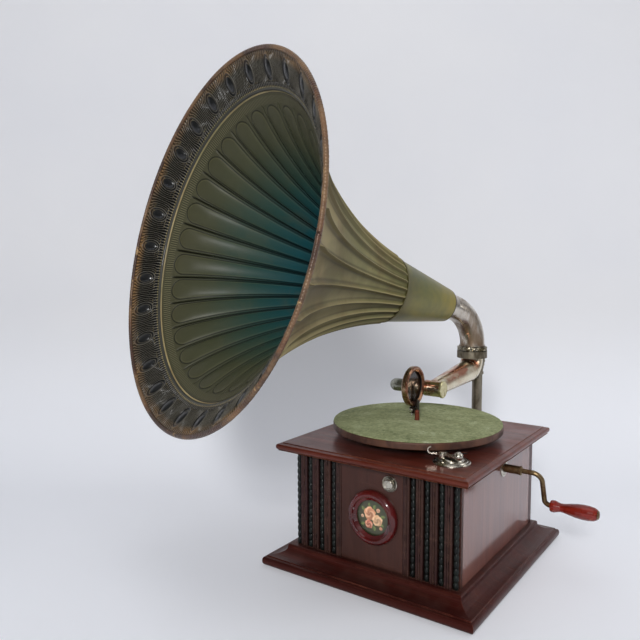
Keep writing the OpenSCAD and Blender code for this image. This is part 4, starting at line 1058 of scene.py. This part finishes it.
bellPetals = pressedSheet("bellPetals", {**bellInputs, **petals}, petalRelief, hornPaint, 1.4, 1.7)
finishPiece(bellPetals, hornPaint, "horn", ("horn_bell",))
bandInputs = {**bellInputs, **band, "First Flute": math.pi / horn["flutes"]}  # an oval at each groove
bellBand = pressedSheet("bellBand", bandInputs, bandRelief, hornBand, 1.0, 1.0)
finishPiece(bellBand, hornBand, "horn", ("horn_bell",))
print("bell pressed:", len(bellPetals.data.polygons), len(bellBand.data.polygons))


rolledRim = {
    "Ring Radius": 253.1,
    "Roll At": 519.45,
    "Roll Radius": 3.1,
    "Turns": 720,
    "Sides": 14,
    "Dents": 0.35,
}


def makeRim(inputs):
    tree, size = newTree("rolledRim", inputs)
    geometry, sideShare, turnShare = gridOf(tree, size["Sides"] + 1.0, size["Turns"] + 1.0)
    side, turn = sideShare * fullTurn, turnShare * fullTurn
    dent = noiseAt(tree, joined(tree, turn.cosine(), turn.sine()), 9.0, 3.0) - 0.5
    bead = (side * 2.0 + turn * 260.0).sine() * 0.12
    roll = size["Roll Radius"] + dent * size["Dents"] + bead
    radius = size["Ring Radius"] + side.cosine() * roll
    spot = roundSpot(tree, turn, radius, size["Roll At"] + side.sine() * roll, millimetre)
    endTree(tree, moved(tree, keepValue(tree, geometry, "around", turn), spot), rimCopper)
    return runTree("bellRim", tree, inputs, hornFrame, crease=80)


finishPiece(makeRim(rolledRim), rimCopper, "horn", ("horn_rim",))
print("rim rolled")


# Collar: a plain band with pressed lobes, each with a diamond
collar = {
    "centre": (0.0, 0.2016),
    "low": 0.2899,
    "high": 0.2981,
    "bore": 0.0193,
    "radius": 0.0240,
    "count": 10,
    "firstAngle": -54.0,
    "lobeWidth": 0.0158,
    "lobeThick": 0.0026,
}


def makeCollar(c, metal):
    low, high = c["low"], c["high"]
    profile = [
        (c["bore"], low), (c["radius"], low), (c["radius"] + 0.0006, low + 0.0008),
        (c["radius"], low + 0.0018), (c["radius"], high - 0.0022), (c["radius"] + 0.0004, high - 0.0014),
        (c["radius"] - 0.0008, high - 0.0004), (c["radius"] - 0.003, high), (c["bore"], high),
    ]
    collarBand = turned("collarBand", profile, 96, Matrix.Translation((*c["centre"], 0)))
    lobes = ringOfPieces("collarLobes", lobeMesh(c), {**c, "height": (low + high) / 2}, metal)
    for piece in (collarBand, lobes):
        finishPiece(piece, metal, "cabinet", ("collar_ring",))


def lobeMesh(c):
    # One lobe, its back on the band: a swollen tablet with a raised diamond and a sunk middle
    half, rise = c["lobeWidth"] / 2, (c["high"] - c["low"]) / 2 - 0.0004

    def pointAt(x, v, layer):
        z = v * 2 - 1
        edge = max(0.0, (1 - abs(x) ** 4) * (1 - abs(z) ** 6)) ** 0.4
        diamond = abs(x) / 0.8 + abs(z) / 0.92
        ridge = math.exp(-((diamond - 0.9) / 0.16) ** 2) * 0.38
        heart = math.exp(-(diamond / 0.3) ** 2) * 0.34
        front = c["lobeThick"] * (0.15 + edge * (0.45 + ridge + heart))
        arc = x * half / c["radius"]
        radius = c["radius"] - 0.0006 + (front if layer else 0.0)
        return radius * math.cos(arc) - c["radius"], radius * math.sin(arc), z * rise

    return shellMesh("lobeModel", 11, 13, pointAt)


makeCollar(collar, finishes["collarNickel"])
print("collar made")


# Leaves cast round the bracket's post
leaves = {
    "centre": (0.0, 0.2275),
    "radius": 0.0095,
    "count": 5,
    "length": 0.030,
    "width": 0.0125,
    "thick": 0.0030,
    "rings": (
        ("leavesLow", {"height": 0.246, "firstAngle": -90.0, "lift": 0.0015}),
        ("leavesHigh", {"height": 0.2545, "firstAngle": -54.0, "lift": 0.003}),
    ),
}


def leafMesh(c):
    def pointAt(x, v, layer):
        half = c["width"] / 2 * (math.sin(math.pi * min(1.0, v * 1.02 + 0.02)) ** 0.7 * 0.9 + 0.06)
        half *= 1 + 0.14 * math.cos(v * 6 * math.pi)
        vein = math.exp(-(x / 0.18) ** 2) * 0.35
        comb = 0.16 * math.cos((abs(x) * 1.5 - v * 4.5) * fullTurn)
        swell = max(0.0, 1 - x * x) ** 0.5 * math.sin(math.pi * (v * 0.96 + 0.02)) ** 0.5
        front = c["thick"] * (0.1 + swell * (0.75 + vein + comb))
        arc = x * half / c["radius"]
        radius = c["radius"] - 0.0008 + (front + c["lift"] * v * v if layer else 0.0)
        return radius * math.cos(arc) - c["radius"], radius * math.sin(arc), v * c["length"]

    return shellMesh("leafModel", 15, 9, pointAt)


for name, values in leaves["rings"]:
    ring = {**leaves, **values}
    piece = ringOfPieces(name, leafMesh(ring), ring, finishes["bracketIron"])
    finishPiece(piece, finishes["bracketIron"], "cabinet")
print("bracket leaves made")


# Felt mat on the turntable: a cut disc, lightly uneven, with a soft edge
feltMat = {"radius": 0.1262, "hole": 0.0051, "thick": 0.0015, "rings": 40, "sides": 240}


def feltFinish():
    material, tree, skin, where = newMaterial("feltGreen")
    fibre = noiseAt(tree, where, 190.0, 5.0, 0.72, 0.6)
    cloud = noiseAt(tree, where, 24.0, 4.0, 0.6)
    tone = colourRamp(tree, fibre * 0.6 + cloud * 0.4, (
        (0.36, "#616a49"), (0.46, "#878e66"), (0.55, "#9aa079"), (0.66, "#b9be9f"),
    ))
    fill(tree, skin, {
        "Base Color": blendColour(tree, patchMask(tree, where, 9.0, 0.45, 0.7) * 0.3, tone, "#82875a"),
        "Roughness": fibre * 0.1 + 0.85,
        "Specular IOR Level": 0.1,
        "Sheen Weight": 0.12,
        "Sheen Roughness": 0.6,
        "Sheen Tint": "#c9cfa8",
        "Normal": raised(tree, fibre + noiseAt(tree, where, 700.0, 3.0, 0.7) * 0.5, 0.0014),
    })
    return material


def makeFelt(c):
    low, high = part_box("platter_felt")
    centre = (low + high) / 2
    random = np.random.default_rng(7)
    waves = [(random.uniform(3, 14), random.uniform(0, 6.28), random.uniform(40, 160)) for _ in range(8)]
    rings, sides = c["rings"], c["sides"]
    points = []
    for layer in (0, 1):
        for j in range(rings):
            share = j / (rings - 1)
            radius = c["hole"] + (c["radius"] - c["hole"]) * (1 - (1 - share) ** 1.25)
            for i in range(sides):
                angle = fullTurn * i / sides
                rise = sum(math.sin(n * angle + p + radius * f) for n, p, f in waves) * 0.000018
                frayed = radius + (math.sin(31 * angle) + math.sin(47 * angle + 1)) * 0.00012 * share ** 6
                top = low.z + c["thick"] - 0.0001 + rise - 0.0004 * share ** 24
                points.append((
                    centre.x + frayed * math.cos(angle), centre.y + frayed * math.sin(angle),
                    top if layer else low.z + 0.00002,
                ))
    size = rings * sides
    faces = [face for base in (0, size) for j in range(rings - 1)
             for face in ringFaces(base + j * sides, base + (j + 1) * sides, sides)]
    for start in (0, (rings - 1) * sides):
        faces += ringFaces(start, size + start, sides)
    mesh = meshOf("feltMat", points, faces)
    tidyMesh(mesh, crease=60)
    piece = finishPiece(linkObject("feltMat", mesh), feltFinish(), "turntable", ("platter_felt",))


makeFelt(feltMat)
print("felt cut")


# Picture in the medallion: a spray of three roses with leaves, on a dark ground
picture = {
    "ground": ((0.035, 0.045, 0.020), (0.085, 0.080, 0.035)),
    "roses": (
        (-0.16, 0.20, 0.36, (0.78, 0.36, 0.20)),
        (0.30, -0.10, 0.30, (0.86, 0.52, 0.30)),
        (-0.22, -0.38, 0.24, (0.66, 0.22, 0.14)),
    ),
    "buds": ((0.34, 0.44, 0.11, (0.80, 0.42, 0.26)), (0.50, -0.50, 0.09, (0.72, 0.30, 0.18)),
             (-0.62, -0.02, 0.09, (0.84, 0.50, 0.34))),
    "leaves": ((-0.56, 0.40, 140, 0.30), (0.12, 0.58, 75, 0.28), (0.62, 0.14, 15, 0.28),
               (0.10, -0.56, -80, 0.30), (-0.60, -0.42, -150, 0.28), (0.56, -0.32, -35, 0.24),
               (-0.20, 0.66, 105, 0.22)),
    "bends": (0.2, -0.2, 0.15),
    "rings": 90,
    "sides": 220,
    "edge": 0.0014,
}


def mixed(first, second, share):
    share = np.asarray(share)[..., None]
    return first * (1 - share) + np.array(second) * share


def roseSpray(x, y):
    # Colour of the painted picture at x, y inside the unit circle
    distance = np.hypot(x, y)
    low, high = (np.array(c) for c in picture["ground"])
    colour = mixed(high, low, np.clip(distance * 1.1, 0, 1))
    for (stemX, stemY, *_), bend in zip(picture["buds"], picture["bends"]):
        along = np.clip((x * stemX + y * stemY) / (stemX ** 2 + stemY ** 2), 0, 1)
        gap = np.hypot(x - along * stemX + bend * along * (1 - along) * stemY,
                       y - along * stemY - bend * along * (1 - along) * stemX)
        colour = mixed(colour, (0.10, 0.14, 0.04), np.clip(1.6 - gap / 0.016, 0, 1) * 0.9)
    for leafX, leafY, turn, length in picture["leaves"]:
        angle = math.radians(turn)
        u = ((x - leafX) * math.cos(angle) + (y - leafY) * math.sin(angle)) / length
        v = (-(x - leafX) * math.sin(angle) + (y - leafY) * math.cos(angle)) / length
        width = 0.36 * np.clip(1 - (2 * u) ** 2, 0, 1) ** 0.8
        inside = np.clip((width - np.abs(v)) / 0.06, 0, 1) * (np.abs(u) < 0.5)
        vein = np.exp(-(v / 0.03) ** 2) + 0.5 * np.exp(-(np.sin((u - np.abs(v)) * 34) / 0.3) ** 2)
        tone = np.array((0.12, 0.17, 0.05)) * (1.0 + 0.5 * np.clip(v * 4, -0.6, 1))[..., None]
        colour = mixed(colour, mixed(tone, (0.30, 0.34, 0.14), np.clip(vein, 0, 1) * 0.5), inside)
    for roseX, roseY, radius, hue in picture["roses"] + picture["buds"]:
        dx, dy = (x - roseX) / radius, (y - roseY) / radius
        reach, angle = np.hypot(dx, dy), np.arctan2(dy, dx)
        lobed = reach * (1 + 0.06 * np.cos(5 * angle + 1.3) + 0.03 * np.cos(11 * angle))
        swirl = np.sin(5 * angle / 2 + 11 * np.sqrt(np.clip(reach, 0.01, 2)) + roseX * 9)
        fall = np.clip(-dy + dx * 0.4, -1, 1)
        shade = 0.45 + 0.55 * np.clip(reach * 1.1, 0, 1) + 0.16 * swirl - 0.22 * fall
        tone = np.array(hue) * np.clip(shade, 0.15, 1.5)[..., None]
        lip = np.exp(-((swirl - 0.85) / 0.2) ** 2) * np.clip(reach * 1.6, 0, 1)
        colour = mixed(colour, mixed(tone, (0.95, 0.74, 0.50), lip * 0.55), np.clip((1 - lobed) / 0.07, 0, 1))
    return mixed(colour, low * 0.6, np.clip((distance - 0.82) / 0.18, 0, 1) * 0.8)


def pictureFinish():
    material, tree, skin, where = newMaterial("paintedPicture")
    pigment = nodeOf(tree, "ShaderNodeAttribute", attribute_name="pigment").outputs["Color"]
    brush = noiseAt(tree, where, 500.0, 4.0, 0.6, 1.0)
    tone = blendColour(tree, brush.between(0.35, 0.75) * 0.3, pigment, "#c69a55", "SOFT_LIGHT")
    fill(tree, skin, {
        "Base Color": blendColour(tree, patchMask(tree, where, 70.0, 0.45, 0.7) * 0.12, tone, "#5c4622"),
        "Roughness": brush * 0.25 + 0.25,
        "Coat Weight": 0.6,
        "Coat Roughness": 0.12,
        "Normal": raised(tree, brush, 0.0003),
    })
    return material


def makePicture(c):
    # A domed disc with a short straight edge and a flat back
    low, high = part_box("medallion_picture")
    centre, radius = (low + high) / 2, (high.x - low.x) / 2
    rings, sides = c["rings"], c["sides"]
    points, spots = [], []
    for j in range(rings + 2):
        share = min(1.0, j / rings)
        bulge = (high.y - low.y - c["edge"]) * (1 - share * share)
        depth = high.y - c["edge"] - bulge if j <= rings else high.y
        for i in range(sides):
            angle = fullTurn * i / sides
            x, z = share * math.cos(angle), share * math.sin(angle)
            points.append((centre.x + x * radius, depth, centre.z + z * radius))
            spots.append((x, z))
    faces = [face for j in range(rings + 1) for face in ringFaces(j * sides, (j + 1) * sides, sides)]
    faces.append(tuple(range((rings + 1) * sides, (rings + 2) * sides)))
    mesh = meshOf("rosePicture", points, faces)
    spots = np.array(spots)
    colour = np.concatenate([roseSpray(spots[:, 0], spots[:, 1]), np.ones((len(spots), 1))], axis=1)
    layer = mesh.attributes.new("pigment", "FLOAT_COLOR", "POINT")
    layer.data.foreach_set("color", np.clip(colour, 0, 1).astype(np.float32).ravel())
    tidyMesh(mesh, crease=40)
    piece = linkObject("rosePicture", mesh)
    finishPiece(piece, pictureFinish(), "cabinet", ("medallion_picture",))


makePicture(picture)
print("picture painted")


# Finishes of the CAD nodes that stay
nodeFinish = {
    "mahoganyBody": ("plinth", "left_panel", "back_panel"),
    "mahoganyTop": ("top_board",),
    "mahoganySideFadedSheen": ("right_panel",),
    "mahoganyFront": ("front_panel",),
    "mahoganyReeds": ("reeded_strips",),
    "medallionWood": ("medallion_ring",),
    "handleWood": ("crank_handle",),
    "innerWood": ("bottom_board", "corner_blocks"),
    "beadBlack": ("beaded_rods",),
    "nickelPlate": ("knob_escutcheon", "start_knob", "crank_escutcheon", "brake_base", "brake_lever",
                    "brake_screw"),
    "elbowNickel": ("horn_elbow",),
    "bracketIron": ("horn_bracket", "bracket_screws"),
    "armBrass": ("tone_arm",),
    "capBrass": ("arm_cap",),
    "gooseNickel": ("gooseneck",),
    "boxBronze": ("soundbox_case",),
    "boxCopper": ("soundbox_ring",),
    "crankSteel": ("crank_arm", "handle_rivet"),
    "rustedSteel": ("spindle",),
    "platterPaint": ("platter",),
    "hornDark": ("throat_ring",),
    "seamPaint": ("seam_ring",),
    "conePaint": ("horn_cone",),
    "motorSteel": ("motor_top_plate", "motor_bottom_plate", "motor_pillars", "motor_screws", "winding_shaft",
                   "winding_pinion", "winding_arbor", "governor_shaft", "governor_posts", "spindle_wheels"),
    "motorBrass": ("spring_barrel", "barrel_cover", "governor_weights", "governor_disc"),
    "springSteel": ("mainspring", "governor_springs"),
    "darkSteel": ("stylus_bar",),
    "brightSteel": ("needle_screw", "needle"),
    "rubberBlack": ("soundbox_gaskets", "motor_spacers"),
    "mica": ("diaphragm",),
}

for finishName, nodeNames in nodeFinish.items():
    for nodeName in nodeNames:
        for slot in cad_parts[nodeName].material_slots:
            slot.material = finishes[finishName]
print("CAD nodes dressed")


# Stage: a pale sweep of paper, seen from its front only, and soft lights
stage = {
    "paper": ("#e8e8ea", "#e1e2e7"),
    "floor": "#f5f7fd",
    "reach": 4.0,
    "ahead": 3.4,
    "behind": 0.95,
    "bend": 0.7,
    "bendSteps": 24,
    "height": 3.2,
    "sky": "#dfe1e6",
    "skySeen": 0.85,
    "skyLow": 0.13,
    "skyHigh": 0.30,
}

lights = {
    "keyLight": {"place": (1.27, -3.07, 1.68), "aim": (-0.1, -0.1, 0.4), "size": (0.7, 0.7), "power": 84.0},
    "topLight": {"place": (0.1, -0.2, 2.6), "aim": (0.0, 0.1, 0.2), "size": (1.8, 1.8), "power": 8.0},
    "windowLight": {"place": (1.3, 0.6, 0.9), "aim": (0.05, 0.0, 0.2), "size": (0.6, 1.1), "power": 5.0},
}


def paperFinish(s):
    material, tree, skin, where = newMaterial("paperWhite")
    tone = blendColour(tree, noiseAt(tree, where, 3.0, 2.0), *s["paper"])
    level = split(tree, where)[2].between(0.35, 0.0)
    fill(tree, skin, {
        "Base Color": blendColour(tree, level, tone, s["floor"]), "Roughness": 0.9, "Specular IOR Level": 0.1,
    })
    blend = nodeOf(tree, "ShaderNodeMixShader", {
        0: tree.nodes.new("ShaderNodeNewGeometry").outputs["Backfacing"],
        1: skin.outputs[0],
        2: tree.nodes.new("ShaderNodeBsdfTransparent").outputs[0],
    })
    feed(tree, blend.outputs[0], tree.nodes["Material Output"].inputs[0])
    return material


def makeStage(s):
    right, _, back = cameraAxes(viewpoint)
    ahead = Vector((-back.x, -back.y, 0)).normalized()
    side = Vector((right.x, right.y, 0)).normalized()
    corner = s["behind"] - s["bend"]
    section = [(-s["ahead"], 0.0), (corner, 0.0)]
    for k in range(1, s["bendSteps"] + 1):
        angle = math.pi / 2 * k / s["bendSteps"]
        section.append((corner + s["bend"] * math.sin(angle), s["bend"] * (1 - math.cos(angle))))
    section.append((s["behind"], s["height"]))
    points = []
    for sign in (-1, 1):
        for depth, height in section:
            spot = ahead * depth + side * s["reach"] * sign
            points.append((spot.x, spot.y, height))
    count = len(section)
    faces = [(k, k + count, k + count + 1, k + 1) for k in range(count - 1)]
    floor = linkObject("paperSweep", meshOf("paperSweep", points, faces))
    floor.data.shade_smooth()
    floor.data.materials.append(paperFinish(s))


def makeSky(s):
    world = bpy.data.worlds.new("studio")
    scene.world = world
    world.use_nodes = True
    tree = world.node_tree
    height = split(tree, tree.nodes.new("ShaderNodeTexCoord").outputs["Generated"])[2]
    seen = Wire(tree, tree.nodes.new("ShaderNodeLightPath").outputs["Is Camera Ray"])
    glow = height.between(0.0, 0.9, s["skyLow"], s["skyHigh"])
    fill(tree, tree.nodes["Background"], {
        "Color": s["sky"], "Strength": seen * s["skySeen"] + (1.0 - seen) * glow,
    })


def softLight(name, place, aim, size, power):
    lamp = bpy.data.lights.new(name, "AREA")
    lamp.shape = "RECTANGLE"
    lamp.size, lamp.size_y = size
    lamp.energy = power
    light = linkObject(name, lamp)
    light.location = place
    light.rotation_mode = "QUATERNION"
    light.rotation_quaternion = (Vector(aim) - Vector(place)).to_track_quat("-Z", "Y")


makeStage(stage)
makeSky(stage)
for name, values in lights.items():
    softLight(name, **values)
scene.view_settings.view_transform = "Standard"
scene.view_settings.look = "None"
print("stage and lights set")
